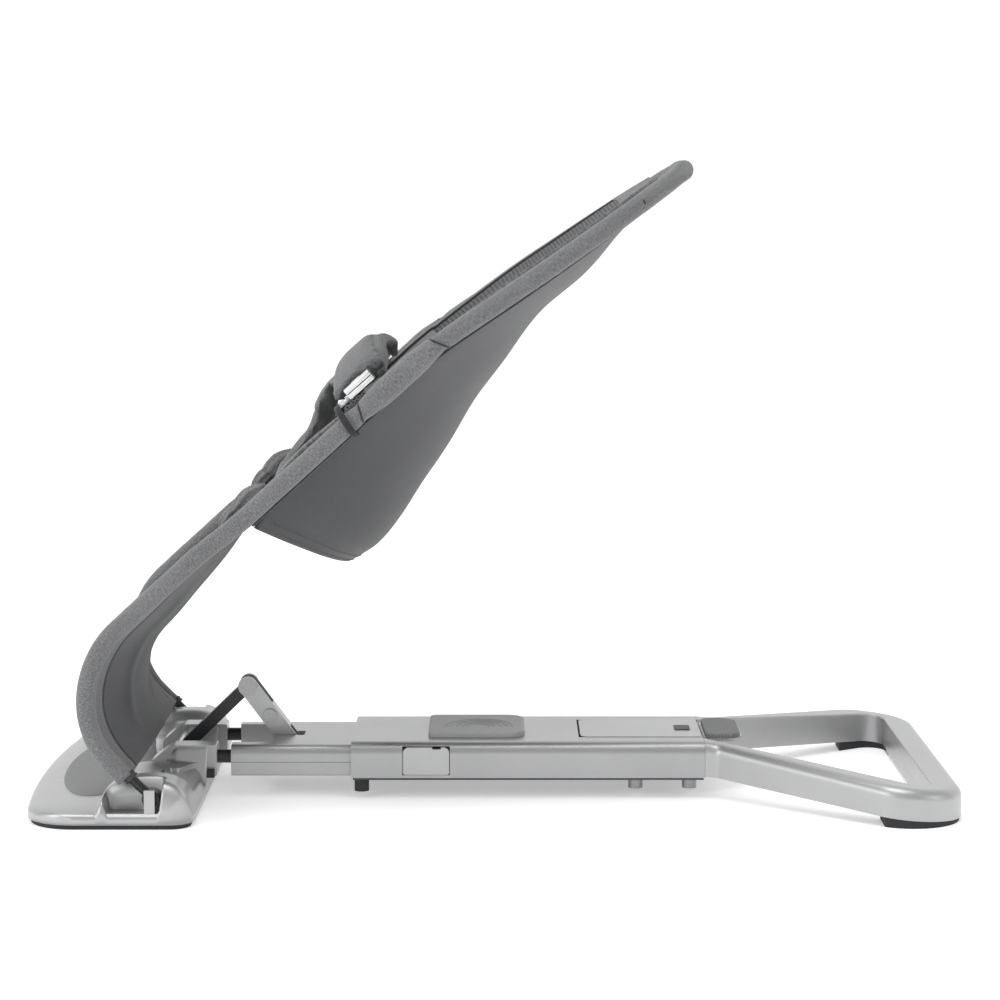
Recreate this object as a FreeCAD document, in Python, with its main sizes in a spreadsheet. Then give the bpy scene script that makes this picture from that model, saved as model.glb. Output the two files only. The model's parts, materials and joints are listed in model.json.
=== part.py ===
"""Bouncer seat: folding seat hoop on a front foot, telescopic rail and sleeve, and a rear floor loop.

Frame: X runs from the front foot to the rear loop, Y across, Z up, origin on the floor at the middle
of the overall box. "left" is the -Y side and "right" the +Y side. Millimetres and degrees.
"""
import FreeCAD, Part
import math
import os
import re

os.makedirs("parts", exist_ok=True)
doc = FreeCAD.newDocument("bouncer_seat")
V = FreeCAD.Vector
SIDES = (("left", -1), ("right", 1))

DIMENSIONS = {
    # overall
    "front_x": -405.0,
    "rear_x": 405.0,
    "half_width": 187.5,
    # front foot
    "foot_rear_x": -251.5,
    "foot_front_corner": 44.0,
    "foot_rear_corner": 20.0,
    "foot_bulge": 8.0,
    "sole_thick": 4.0,
    "sole_inset": 3.0,
    "skirt_top": 11.0,
    "plateau": 17.0,
    "bevel_run": 24.0,
    "foot_wall": 3.5,
    "toe_pad_x": -345.0,
    "toe_pad_length": 76.0,
    "toe_pad_width": 268.0,
    "toe_pad_rise": 1.4,
    # hinge of the seat in the foot
    "axle_x": -287.5,
    "axle_z": 25.0,
    "axle_radius": 5.0,
    "running_gap": 0.05,
    "socket_radius": 7.4,
    "hoop_y": 172.0,
    "hub_front_x": -301.0,
    "hub_rear_x": -262.0,
    "hub_top": 43.0,
    "hub_inner_y": 140.0,
    "hub_outer_y": 184.5,
    "hub_slot": 9.0,
    # yoke and guide rods
    "arm_end_x": -243.0,
    "arm_inner_y": 38.0,
    "arm_outer_y": 60.0,
    "arm_top": 47.0,
    "arm_bottom": 19.0,
    "rod_y": 50.25,
    "rod_z": 35.5,
    "rod_radius": 6.0,
    "rod_end_x": -120.0,
    # rail
    "rail_front_x": -230.5,
    "rail_end_x": 30.0,
    "rail_inner_y": 41.0,
    "rail_outer_y": 59.5,
    "rail_bottom": 19.3,
    "rail_top": 46.5,
    "rail_wall": 2.0,
    "plate_front_x": -194.5,
    "plate_thick": 3.0,
    # lift linkage
    "pivot_x": -180.5,
    "pivot_z": 38.5,
    "pivot_radius": 3.0,
    "link_top_x": -219.5,
    "link_top_z": 91.0,
    "bracket_half": 8.5,
    "bracket_width": 16.6,
    "bracket_wall": 2.0,
    "strut_half": 5.5,
    # sleeve
    "sleeve_front_x": -123.5,
    "sleeve_rear_x": 190.0,
    "sleeve_half": 67.0,
    "sleeve_top": 50.6,
    "sleeve_bottom": 19.0,
    "sleeve_wall": 3.0,
    "sleeve_round": 10.0,
    "cover_thick": 1.8,
    # side buttons
    "button_front_x": -77.5,
    "button_rear_x": -36.5,
    "button_bottom": 22.0,
    "button_top": 46.7,
    "button_proud": 1.4,
    # release lever and pedal
    "lever_front_x": 80.5,
    "lever_half": 40.0,
    "lever_top": 51.0,
    "lever_thick": 3.1,
    "lever_pivot_x": 87.0,
    "lever_pivot_z": 42.5,
    "pedal_rear_x": 224.5,
    # rear loop
    "loop_start_x": 199.4,
    "loop_arm_angle": 39.3,
    "loop_inner_angle": 34.8,
    "loop_throat_y": 41.4,
    "loop_corner": 46.0,
    "loop_inner_corner": 14.0,
    "loop_bar_x": 377.5,
    "loop_rear_top": 29.0,
    "loop_rear_bottom": 3.4,
    "loop_front_bottom": 20.0,
    "loop_wall": 4.0,
    # seat hoop and fabric
    "hoop_radius": 4.0,
    "rim_radius": 11.5,
    "toe_x": -338.5,
    "toe_low_z": 76.0,
    "toe_high_z": 143.0,
    "knee_x": -47.5,
    "knee_z": 407.0,
    "head_x": 170.6,
    "head_z": 554.6,
    "head_span": 186.8,
    "cloth_thick": 2.4,
}

sheet = doc.addObject("Spreadsheet::Sheet", "dims")
for row, (alias, value) in enumerate(DIMENSIONS.items(), start=1):
    sheet.set(f"A{row}", alias)
    sheet.set(f"B{row}", str(value))
    sheet.setAlias(f"B{row}", alias)
doc.recompute()


class SheetReader:
    """Read a driving dimension from the sheet as D.alias."""

    def __getattr__(self, alias):
        return float(sheet.get(alias))


D = SheetReader()
finished = []


def formula(text):
    """Turn bare dimension names in a formula into references to the sheet."""
    def named(found):
        word = found.group(0)
        return "dims." + word if word in DIMENSIONS else word
    return re.sub(r"[a-z_]+", named, str(text))


def keep(obj, label):
    """Mark an object as a finished sub-part and give it its name."""
    obj.Label = label
    finished.append(obj)
    return obj


# ---------------------------------------------------------------- outlines and paths

def corner_arc(before, corner, after, radius):
    """The two tangent points and the middle of the arc that rounds a corner."""
    toward_before = (before - corner).normalize()
    toward_after = (after - corner).normalize()
    half = toward_before.getAngle(toward_after) / 2
    bisector = (toward_before + toward_after).normalize()
    reach = radius / math.tan(half)
    centre = corner + bisector * (radius / math.sin(half))
    return corner + toward_before * reach, centre - bisector * radius, corner + toward_after * reach


def rounded_curves(points, radii, closed):
    """Straight runs joined by tangent arcs through a list of corners."""
    curves = []
    count = len(points)
    stations = []
    for i in range(count):
        if radii[i] and (closed or 0 < i < count - 1):
            stations.append(corner_arc(points[i - 1], points[i], points[(i + 1) % count], radii[i]))
        else:
            stations.append((points[i], None, points[i]))
    for i in range(count if closed else count - 1):
        start = stations[i][2]
        stop = stations[(i + 1) % count][0]
        if start.distanceToPoint(stop) > 1e-6:
            curves.append(Part.LineSegment(start, stop))
        arc = stations[(i + 1) % count]
        if arc[1] is not None:
            curves.append(Part.Arc(*arc))
    return curves


def outline(*corners):
    """Closed outline from (u, v) or (u, v, radius) corners, in a sketch's own plane."""
    points = [V(c[0], c[1], 0) for c in corners]
    radii = [c[2] if len(c) > 2 else 0 for c in corners]
    return rounded_curves(points, radii, True)


def path(points, radii):
    """Open wire of straight runs joined by tangent arcs."""
    return Part.Wire([c.toShape() for c in rounded_curves(points, radii, False)])


def prism(curves, low, high):
    """Upright solid from a plan outline between two heights."""
    face = Part.Face(Part.Wire([c.toShape() for c in curves]))
    face.translate(V(0, 0, low))
    return face.extrude(V(0, 0, high - low))


def side_prism(corners, low_y, high_y):
    """Solid from (x, z) or (x, z, radius) corners, extruded along Y."""
    points = [V(c[0], low_y, c[1]) for c in corners]
    radii = [c[2] if len(c) > 2 else 0 for c in corners]
    wire = Part.Wire([c.toShape() for c in rounded_curves(points, radii, True)])
    return Part.Face(wire).extrude(V(0, high_y - low_y, 0))


def cylinder(radius, start, end):
    """Solid round bar between two points."""
    return Part.makeCylinder(radius, start.distanceToPoint(end), start, end - start)


# ---------------------------------------------------------------- document objects

def bind(obj, formulas):
    for name, text in formulas.items():
        obj.setExpression(name, formula(text))
    return obj


def block(name, along_x, along_y, along_z):
    """Part::Box between a low and a high formula on each axis."""
    box = doc.addObject("Part::Box", name)
    for size, axis, (low, high) in zip(("Length", "Width", "Height"), "xyz", (along_x, along_y, along_z)):
        bind(box, {size: f"({high}) - ({low})", f"Placement.Base.{axis}": low})
    return box


def bar(name, axis, radius, start, length):
    """Part::Cylinder along an axis letter, from a start given as three formulas."""
    turned = {"x": FreeCAD.Rotation(V(0, 1, 0), 90),
              "y": FreeCAD.Rotation(V(1, 0, 0), -90),
              "z": FreeCAD.Rotation()}
    rod = doc.addObject("Part::Cylinder", name)
    rod.Placement = FreeCAD.Placement(V(0, 0, 0), turned[axis])
    bind(rod, {"Radius": radius, "Height": length})
    bind(rod, {f"Placement.Base.{letter}": text for letter, text in zip("xyz", start)})
    return rod


def fused(name, *shapes):
    fuse = doc.addObject("Part::MultiFuse", name)
    fuse.Shapes = list(shapes)
    return fuse


def cut(name, base, *tools):
    result = doc.addObject("Part::Cut", name)
    result.Base = base
    result.Tool = tools[0] if len(tools) == 1 else fused(name + "_tools", *tools)
    return result


def sketch_on(body, name, plane, level, loops):
    """Sketch on one of the body's own origin planes, lifted by a formula along the plane's normal."""
    sketch = body.newObject("Sketcher::SketchObject", name)
    origin_plane = next(f for f in body.Origin.OriginFeatures if f.Role == plane)
    sketch.AttachmentSupport = [(origin_plane, "")]
    sketch.MapMode = "FlatFace"
    bind(sketch, {"AttachmentOffset.Base.z": level})
    for loop in loops:
        for curve in loop:
            sketch.addGeometry(curve, False)
    return sketch


def padded(name, plane, low, high, *loops):
    """PartDesign body: the loops of one sketch padded between two levels of a plane."""
    body = doc.addObject("PartDesign::Body", name)
    pad = body.newObject("PartDesign::Pad", name + "_pad")
    pad.Profile = sketch_on(body, name + "_sketch", plane, low, loops)
    bind(pad, {"Length": f"({high}) - ({low})"})
    body.Tip = pad
    return body


def rounded_edges(body, radius, wanted):
    """Add a PartDesign fillet on the edges of a body that pass a test."""
    doc.recompute()
    base = body.Tip
    names = [f"Edge{i}" for i, edge in enumerate(base.Shape.Edges, start=1) if wanted(edge)]
    fillet = body.newObject("PartDesign::Fillet", body.Name + "_round")
    fillet.Base = (base, names)
    fillet.Radius = radius
    body.Tip = fillet
    return body


def level_edge(height, tolerance=0.01):
    """Test for edges that lie wholly at one height."""
    return lambda edge: all(abs(v.Z - height) < tolerance for v in edge.Vertexes)


def group(name, shapes):
    """Identical separate solids kept together as one sub-part."""
    return keep(feature(name, Part.makeCompound(shapes)), name)


def feature(name, shape, placement=FreeCAD.Placement()):
    """Part::Feature whose shape is made from the sheet's values by Part's own functions."""
    part = doc.addObject("Part::Feature", name)
    part.Shape = shape
    part.Placement = placement
    return part


def circle(radius, u=0.0, v=0.0):
    return [Part.Circle(V(u, v, 0), V(0, 0, 1), radius)]


def spring(radius, wire, start, direction, length, turns):
    """Helical compression spring from a start point along a direction."""
    helix = Part.makeHelix((length - 2 * wire) / turns, length - 2 * wire, radius)
    section = Part.Wire([Part.Circle(V(radius, 0, 0), V(0, 1, 0), wire).toShape()])
    coil = Part.Wire(helix).makePipeShell([section], True, True)
    turn = FreeCAD.Rotation(V(0, 0, 1), direction)
    return coil.transformed(FreeCAD.Placement(start + direction * wire, turn).toMatrix(), True)


# ---------------------------------------------------------------- front foot

def foot_plan(inset):
    """Plan of the foot: straight sides, a gently curved front, rounded corners."""
    side = D.half_width - inset
    front = D.front_x + D.foot_bulge + inset
    rear = D.foot_rear_x - inset
    corner = D.foot_front_corner - inset
    rear_corner = max(D.foot_rear_corner - inset, 2)
    curves = outline((rear, -side, rear_corner), (rear, side, rear_corner),
                     (front, side, corner), (front, -side, corner))
    bowed = []
    for curve in curves:
        start, end = curve.StartPoint, curve.EndPoint
        if abs(start.x - front) < 1e-6 and abs(end.x - front) < 1e-6:
            bowed.append(Part.Arc(start, V(D.front_x + inset, 0, 0), end))
        else:
            bowed.append(curve)
    return bowed


def make_foot():
    keep(padded("foot_sole", "XY_Plane", "0", "sole_thick", foot_plan(D.sole_inset)), "foot_sole")
    skirt = prism(foot_plan(0), D.sole_thick, D.skirt_top)
    low = Part.Wire([c.toShape() for c in foot_plan(0)])
    high = Part.Wire([c.toShape() for c in foot_plan(D.bevel_run / 2)])
    low.translate(V(0, 0, D.skirt_top))
    high.translate(V(D.bevel_run / 4, 0, D.plateau))
    crown = Part.makeLoft([low, high], True, True)
    hollow = prism(foot_plan(D.bevel_run / 2 + D.foot_wall), D.sole_thick - 1, D.skirt_top)
    shell = feature("foot_shell", skirt.fuse(crown).removeSplitter().cut(hollow))
    keep(shell, "foot_shell")
    pad = doc.addObject("Part::Ellipsoid", "toe_pad_lens")
    bind(pad, {"Radius1": "toe_pad_rise", "Radius2": "toe_pad_length / 2", "Radius3": "toe_pad_width / 2"})
    bind(pad, {"Placement.Base.x": "toe_pad_x", "Placement.Base.z": "plateau"})
    below = block("toe_pad_below", ("front_x", "axle_x"), ("-half_width", "half_width"), ("0", "plateau"))
    keep(cut("toe_pad", pad, below), "toe_pad")
    return shell


def make_hub(side, sign, shell):
    """Hump over one end of the seat axle, with a slot in which the hoop's end swings."""
    inner, outer = sorted((sign * D.hub_inner_y, sign * D.hub_outer_y))
    profile = outline((D.hub_front_x, D.skirt_top), (D.hub_front_x, D.hub_top, 16),
                      (D.hub_rear_x, D.hub_top, 12), (D.hub_rear_x, D.skirt_top))
    # the XZ plane's normal is -Y
    body = padded(f"hub_body_{side}", "XZ_Plane", f"{-outer}", f"{-inner}", profile)
    rounded_edges(body, 5, lambda e: e.BoundBox.ZMax > D.skirt_top + 1 and e.BoundBox.YLength < 0.01)
    slot_low, slot_high = sorted((sign * (D.hoop_y - D.hub_slot), sign * (D.hoop_y + D.hub_slot)))
    slot = block(f"hub_slot_{side}", ("hub_front_x - 2", "axle_x + socket_radius + 1"),
                 (f"{slot_low}", f"{slot_high}"), ("plateau + 0.1", "hub_top + 2"))
    bore = bar(f"hub_bore_{side}", "y", "axle_radius + running_gap", ("axle_x", f"{inner - 1}", "axle_z"),
               "hub_outer_y - hub_inner_y + 2")
    keep(cut(f"hub_cover_{side}", body, slot, bore, shell), f"hub_cover_{side}")


def make_retainers(shell):
    """Thin strips that close the outer ends of the seat axle."""
    strips = []
    for _, sign in SIDES:
        near = min(sign * D.hub_outer_y, sign * (D.half_width - 0.2))
        strip = Part.makeBox(9, 2.8, 23, V(D.axle_x - 4.5, near, D.skirt_top))
        strips.append(strip.cut(shell.Shape))
    group("axle_retainers", strips)


def make_yoke():
    """Saddle on the foot: two arms joined by a low strap, bored for the axle and the guide rods."""
    pieces = []
    for side, sign in SIDES:
        inner, outer = sorted((sign * D.arm_inner_y, sign * D.arm_outer_y))
        arm = [(D.axle_x - 15, D.plateau), (D.axle_x - 15, 32, 8),
               (D.axle_x - 4, 41, 8), (D.axle_x + 6, D.arm_top, 6),
               (D.arm_end_x, D.arm_top, 2), (D.arm_end_x, D.arm_bottom, 2), (D.arm_end_x - 18, D.arm_bottom),
               (D.arm_end_x - 20, D.plateau)]
        pieces.append(side_prism(arm, inner, outer))
        flare = outline((D.axle_x + 6, sign * (D.arm_outer_y - 2)), (D.axle_x + 6, sign * 92, 3),
                        (D.axle_x + 14, sign * 92, 3), (D.arm_end_x - 20, sign * 70, 12),
                        (D.arm_end_x - 12, sign * (D.arm_outer_y - 2)))
        pieces.append(prism(flare, D.plateau, 33))
    strap = Part.makeBox(10, 2 * D.arm_inner_y, 4, V(D.arm_end_x - 19, -D.arm_inner_y, D.plateau))
    saddle = strap.multiFuse(pieces).removeSplitter()
    reach = D.half_width
    bores = [cylinder(D.axle_radius + D.running_gap,
                      V(D.axle_x, -reach, D.axle_z), V(D.axle_x, reach, D.axle_z))]
    for side, sign in SIDES:
        bores.append(cylinder(D.rod_radius, V(D.arm_end_x - 19, sign * D.rod_y, D.rod_z),
                              V(D.arm_end_x + 1, sign * D.rod_y, D.rod_z)))
    keep(feature("yoke", saddle.cut(bores)), "yoke")
    bumpers = []
    for side, sign in SIDES:
        rod = bar(f"guide_rod_{side}", "x", "rod_radius", ("arm_end_x - 19", f"{sign} * rod_y", "rod_z"),
                  "rod_end_x - arm_end_x + 19")
        keep(rod, f"guide_rod_{side}")
        near = min(sign * D.arm_outer_y, sign * (D.arm_outer_y + 6))
        bumpers.append(Part.makeBox(9, 6, 7, V(D.arm_end_x - 11, near, D.arm_bottom)))
    group("yoke_bumpers", bumpers)


# ---------------------------------------------------------------- rail and lift bracket

def cavity_corners(sign, gap=0.0):
    """Inside of one hollow side extrusion."""
    low, high = D.rail_bottom + D.rail_wall + gap, D.rail_top - D.rail_wall - gap
    inner, outer = D.rail_inner_y + D.rail_wall + gap, D.rail_outer_y - D.rail_wall - gap
    return outline((sign * inner, low), (sign * outer, low), (sign * outer, high, 5), (sign * inner, high))


def make_rail():
    glides = [Part.makeBox(48, 2 * D.rail_inner_y, 0.8, V(D.rail_end_x - 50, -D.rail_inner_y, D.rail_top))]
    groove_low, groove_high = 31.4, 32.4
    for side, sign in SIDES:
        groove_y = sign * (D.rail_outer_y - 0.8)
        section = outline((sign * D.rail_inner_y, D.rail_bottom), (sign * D.rail_outer_y, D.rail_bottom, 2),
                          (sign * D.rail_outer_y, groove_low),
                           (groove_y, groove_low), (groove_y, groove_high),
                          (sign * D.rail_outer_y, groove_high), (sign * D.rail_outer_y, D.rail_top, 8),
                          (sign * D.rail_inner_y, D.rail_top))
        rail = padded(f"rail_{side}", "YZ_Plane", "rail_front_x", "rail_end_x", section, cavity_corners(sign))
        keep(rail, f"rail_{side}")
        keep(padded(f"rod_bush_{side}", "YZ_Plane", "rail_front_x + 0.5", "rail_front_x + 30.5",
                    cavity_corners(sign, 0.01),
                    circle(D.rod_radius + D.running_gap, sign * D.rod_y, D.rod_z)),
             f"rod_bush_{side}")
        near = min(sign * D.rail_outer_y, sign * (D.rail_outer_y + 4))
        glides.append(Part.makeBox(48, 4, 1.9, V(D.rail_end_x - 50, near, D.rail_bottom + 0.2)))
    notch = 9.5
    plate = outline((D.plate_front_x, -D.rail_inner_y),
                    (D.rail_end_x, -D.rail_inner_y), (D.rail_end_x, D.rail_inner_y),
                    (D.plate_front_x, D.rail_inner_y), (D.plate_front_x, notch), (D.pivot_x + 12, notch, 2),
                    (D.pivot_x + 12, -notch, 2), (D.plate_front_x, -notch))
    keep(padded("rail_top_plate", "XY_Plane", "rail_top - plate_thick", "rail_top", plate), "rail_top_plate")
    keep(block("rail_end_plate", ("rail_end_x - 4", "rail_end_x"), ("-rail_inner_y", "rail_inner_y"),
               ("rail_bottom", "rail_top - plate_thick")), "rail_end_plate")
    group("rail_glides", glides)
    housing = block("pivot_housing", ("pivot_x - 9.5", "pivot_x + 9.5"), ("-20", "20"),
                    ("22", "rail_top - plate_thick"))
    gap = block("pivot_gap", ("pivot_x - 12", "pivot_x + 12"), ("-9.3", "9.3"), ("27", "rail_top"))
    bore = bar("pivot_bore", "y", "pivot_radius", ("pivot_x", "-21", "pivot_z"), "42")
    keep(cut("pivot_block", housing, gap, bore), "pivot_block")
    keep(bar("bracket_pin", "y", "pivot_radius", ("pivot_x", "-20", "pivot_z"), "40"), "bracket_pin")


def capsule(start, end, radius, low_y, high_y):
    """Flat link with round ends between two (x, z) points."""
    along = V(end[0] - start[0], 0, end[1] - start[1])
    across = V(-along.z, 0, along.x).normalize() * radius
    a, b = V(start[0], low_y, start[1]), V(end[0], low_y, end[1])
    tip = V(along).normalize() * radius
    edges = [Part.LineSegment(a + across, b + across), Part.Arc(b + across, b + tip, b - across),
             Part.LineSegment(b - across, a - across), Part.Arc(a - across, a - tip, a + across)]
    return Part.Face(Part.Wire([e.toShape() for e in edges])).extrude(V(0, high_y - low_y, 0))


def make_bracket():
    """Channel link: two cheeks joined by a web along the middle of the side that faces the rear."""
    foot, top = V(D.pivot_x, 0, D.pivot_z), V(D.link_top_x, 0, D.link_top_z)
    along = (top - foot).normalize()
    right = V(along.z, 0, -along.x)
    half_y = D.bracket_width / 2
    link = capsule((foot.x, foot.z), (top.x, top.z), D.bracket_half, -half_y, half_y)
    hollow = capsule((foot.x, foot.z), (top.x, top.z), D.bracket_half + 1,
                     D.bracket_wall - half_y, half_y - D.bracket_wall)
    corners = [foot + along * reach + right * aside
               for reach, aside in ((13, D.bracket_half), (40, D.bracket_half),
                                    (40, D.bracket_half - 2), (13, D.bracket_half - 2))]
    web = side_prism([(p.x, p.z) for p in corners], -half_y, half_y)
    channel = link.cut(hollow).fuse(web).removeSplitter()
    middle = foot + along * 32
    cutters = [cylinder(D.pivot_radius + D.running_gap,
                        V(foot.x, -half_y - 1, foot.z), V(foot.x, half_y + 1, foot.z))]
    cutters.append(cylinder(2.5, V(middle.x, -half_y - 1, middle.z), V(middle.x, half_y + 1, middle.z)))
    cutters.append(cylinder(4.5, V(top.x, -half_y - 1, top.z), V(top.x, half_y + 1, top.z)))
    keep(feature("lift_bracket", channel.cut(cutters)), "lift_bracket")
    bolt = cylinder(2.5, V(middle.x, -half_y, middle.z), V(middle.x, half_y, middle.z))
    heads = [cylinder(6.2, V(middle.x, sign * half_y, middle.z), V(middle.x, sign * (half_y + 2.4), middle.z))
             for _, sign in SIDES]
    keep(feature("bracket_bolt", bolt.multiFuse(heads).removeSplitter()), "bracket_bolt")
    caps = []
    for _, sign in SIDES:
        stub = cylinder(4.5, V(top.x, sign * (half_y - D.bracket_wall), top.z),
                        V(top.x, sign * half_y, top.z))
        cap = cylinder(8.6, V(top.x, sign * half_y, top.z), V(top.x, sign * (half_y + 2.6), top.z))
        caps.append(stub.fuse(cap).removeSplitter())
    group("pivot_caps", caps)


# ---------------------------------------------------------------- sleeve, buttons and release lever

def make_sleeve():
    out, wall, top, low = D.sleeve_half, D.sleeve_wall, D.sleeve_top, D.sleeve_bottom
    bend = D.sleeve_round
    channel = outline((-out, low), (-out, top, bend), (out, top, bend), (out, low), (out - wall, low),
                      (out - wall, top - wall, bend - wall),
                       (wall - out, top - wall, bend - wall), (wall - out, low))
    body = padded("sleeve_body", "YZ_Plane", "sleeve_front_x", "sleeve_rear_x", channel)
    window = block("lever_opening", ("lever_front_x - 1.5", "sleeve_rear_x + 1"),
                   ("-lever_half - 1", "lever_half + 1"),
                   ("rail_top", "sleeve_top + 1"))
    button_holes = [block(f"button_opening_{side}", ("button_front_x - 0.5", "button_rear_x + 0.5"),
                          (f"{min(sign * 58, sign * 70)}", f"{max(sign * 58, sign * 70)}"),
                          ("button_bottom - 0.4", "button_top + 0.4")) for side, sign in SIDES]
    keep(cut("sleeve_shell", body, window, *button_holes), "sleeve_shell")
    keep(block("sleeve_bottom_cover", ("sleeve_front_x + 1.5", "sleeve_rear_x - 1"),
               ("0.5 - sleeve_half", "sleeve_half - 0.5"),
               ("sleeve_bottom - cover_thick", "sleeve_bottom")), "sleeve_bottom_cover")
    under = D.sleeve_bottom - D.cover_thick
    peg_x = D.sleeve_front_x + 9
    pegs = [cylinder(6.5, V(peg_x, sign * 57, 6), V(peg_x, sign * 57, under)) for _, sign in SIDES]
    group("front_pegs", pegs)
    bosses = [cylinder(6.5, V(x, sign * 44, 6), V(x, sign * 44, under))
              for x in (129.5, 177.5) for _, sign in SIDES]
    group("cover_bosses", bosses)
    badge = outline((-55.5, -42, 5), (30.5, -42, 16), (30.5, 42, 16), (-55.5, 42, 5))
    pad = padded("badge_pad", "XY_Plane", "sleeve_top", "sleeve_top + 5", badge)
    keep(rounded_edges(pad, 1.8, level_edge(D.sleeve_top + 5)), "badge_pad")


def bowed_leaf(middle_x, reach, root_y, crown_y, thick, heights):
    """Leaf spring: a strip bowed between two levels across Y."""
    low, high, level = middle_x - reach, middle_x + reach, heights[0]
    outer = Part.Arc(V(low, root_y + thick, level), V(middle_x, crown_y, level),
                     V(high, root_y + thick, level))
    inner = Part.Arc(V(high, root_y, level), V(middle_x, crown_y - thick, level), V(low, root_y, level))
    sides = [Part.LineSegment(outer.EndPoint, inner.StartPoint),
             Part.LineSegment(inner.EndPoint, outer.StartPoint)]
    edges = [outer.toShape(), sides[0].toShape(), inner.toShape(), sides[1].toShape()]
    return Part.Face(Part.Wire(edges)).extrude(V(0, 0, heights[1] - level))


def make_button(side, sign):
    """Push button in the sleeve's side wall; returns the carrier and the leaf spring behind it."""
    wall_inner = D.sleeve_half - D.sleeve_wall
    notch_low, notch_high, notch_bottom = D.button_rear_x - 15, D.button_rear_x - 7.5, D.button_top - 1.6
    face = outline((D.button_front_x, D.button_bottom, 2), (D.button_front_x, D.button_top, 5),
                   (notch_low, D.button_top), (notch_low, notch_bottom), (notch_high, notch_bottom),
                   (notch_high, D.button_top), (D.button_rear_x, D.button_top, 5),
                    (D.button_rear_x, D.button_bottom, 2))
    low, high = sorted((sign * wall_inner, sign * (D.sleeve_half + D.button_proud)))
    button = padded(f"side_button_{side}", "XZ_Plane", f"{-high}", f"{-low}", face)
    outer = sign * (D.sleeve_half + D.button_proud)
    outer_rim = rounded_edges(button, 0.5, lambda e: all(abs(v.Y - outer) < 0.01 for v in e.Vertexes))
    keep(outer_rim, f"side_button_{side}")
    web = sorted((sign * (D.rail_outer_y + 0.4), sign * (D.rail_outer_y + 1.0)))
    leg = sorted((sign * (D.rail_outer_y + 0.4), sign * wall_inner))
    low_x, high_x = D.button_front_x - 6, D.button_rear_x + 6
    carrier = [Part.makeBox(high_x - low_x, web[1] - web[0], 20, V(low_x, web[0], 24))]
    for x in (low_x, high_x - 5):
        carrier.append(Part.makeBox(5, leg[1] - leg[0], 16, V(x, leg[0], 24)))
    middle_x = (low_x + high_x) / 2
    leaf = bowed_leaf(middle_x, 13, sign * (D.rail_outer_y + 1.05), sign * (wall_inner - 0.05),
                      sign * 0.4, (31, 38))
    return carrier[0].multiFuse(carrier[1:]).removeSplitter(), leaf


def make_lever():
    """Flush tongue in the sleeve's top that hinges at its front end and carries the foot pedal."""
    low = D.lever_top - D.lever_thick
    rear = D.sleeve_rear_x - 1
    tongue = prism(outline((D.lever_front_x, -D.lever_half, 8),
                           (rear, -D.lever_half, 2), (rear, D.lever_half, 2),
                           (D.lever_front_x, D.lever_half, 8)), low, D.lever_top)
    tail = Part.makeBox(44, 60, 2.2, V(D.pedal_rear_x - 50, -30, low - 3))
    riser = Part.makeBox(12, 60, 4, V(D.pedal_rear_x - 50, -30, low - 3))
    pieces = [tail, riser]
    for _, sign in SIDES:
        near = min(sign * 30, sign * 36)
        pieces.append(Part.makeBox(10, 6, low - D.lever_pivot_z + 5,
                                   V(D.lever_pivot_x - 5, near, D.lever_pivot_z - 4)))
    bore = cylinder(2 + D.running_gap,
                    V(D.lever_pivot_x, -50, D.lever_pivot_z), V(D.lever_pivot_x, 50, D.lever_pivot_z))
    keep(feature("release_lever", tongue.multiFuse(pieces).removeSplitter().cut(bore)), "release_lever")
    keep(bar("lever_pin", "y", "2", ("lever_pivot_x", "-46", "lever_pivot_z"), "92"), "lever_pin")
    mounts = []
    for _, sign in SIDES:
        near = min(sign * 41.5, sign * 46)
        mounts.append(Part.makeBox(12, 4.5, 9,
                                   V(D.lever_pivot_x - 6, near, D.sleeve_top - D.sleeve_wall - 9)))
    axle = cylinder(2, V(D.lever_pivot_x, -50, D.lever_pivot_z), V(D.lever_pivot_x, 50, D.lever_pivot_z))
    group("lever_pivot_blocks", [mount.cut(axle) for mount in mounts])
    keep(padded("lever_window", "XY_Plane", "lever_top", "lever_top + 0.8",
                outline((166.5, -10, 2), (180.5, -10, 2), (180.5, 10, 2), (166.5, 10, 2))), "lever_window")
    tray_top = D.lever_top - D.lever_thick + 1.2
    rear = D.pedal_rear_x
    tray = outline((191.2, -38.5, 8), (rear + 1.5, -42, 17), (rear + 1.5, 42, 17), (191.2, 38.5, 8))
    keep(padded("pedal_tray", "XY_Plane", "lever_top - lever_thick - 0.8", f"{tray_top}", tray), "pedal_tray")
    pad = outline((193, -37, 7), (rear, -40.4, 15.5), (rear, 40.4, 15.5), (193, 37, 7))
    grip = padded("pedal_pad", "XY_Plane", f"{tray_top}", f"{tray_top} + 4", pad)
    keep(rounded_edges(grip, 1.6, level_edge(tray_top + 4)), "pedal_pad")
    keep(block("pedal_bracket", ("sleeve_rear_x + 0.4", "sleeve_rear_x + 12"),
               ("0.6 - loop_throat_y", "loop_throat_y - 0.6"),
               ("loop_front_bottom + 1", "34")), "pedal_bracket")
    coil = spring(6, 0.9, V(160, 0, D.sleeve_bottom), V(0, 0, 1), low - D.sleeve_bottom - 0.1, 6)
    keep(feature("lever_spring", coil), "lever_spring")


# ---------------------------------------------------------------- rear loop

def loop_height(x, front, rear):
    """Height at x on the line from the loop's start to its rear end."""
    share = (x - D.sleeve_rear_x) / (D.rear_x - D.sleeve_rear_x)
    return front + (rear - front) * share


def loop_wedge(drop_top, drop_bottom):
    """Solid between the loop's sloping top and bottom planes."""
    low_x, high_x = D.sleeve_rear_x - 10, D.rear_x + 10
    corners = []
    for x in (low_x, high_x):
        corners.append((x, loop_height(x, D.loop_front_bottom, D.loop_rear_bottom) - drop_bottom))
    for x in (high_x, low_x):
        corners.append((x, loop_height(x, D.sleeve_top, D.loop_rear_top) - drop_top))
    return side_prism(corners, -2 * D.half_width, 2 * D.half_width)


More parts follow.
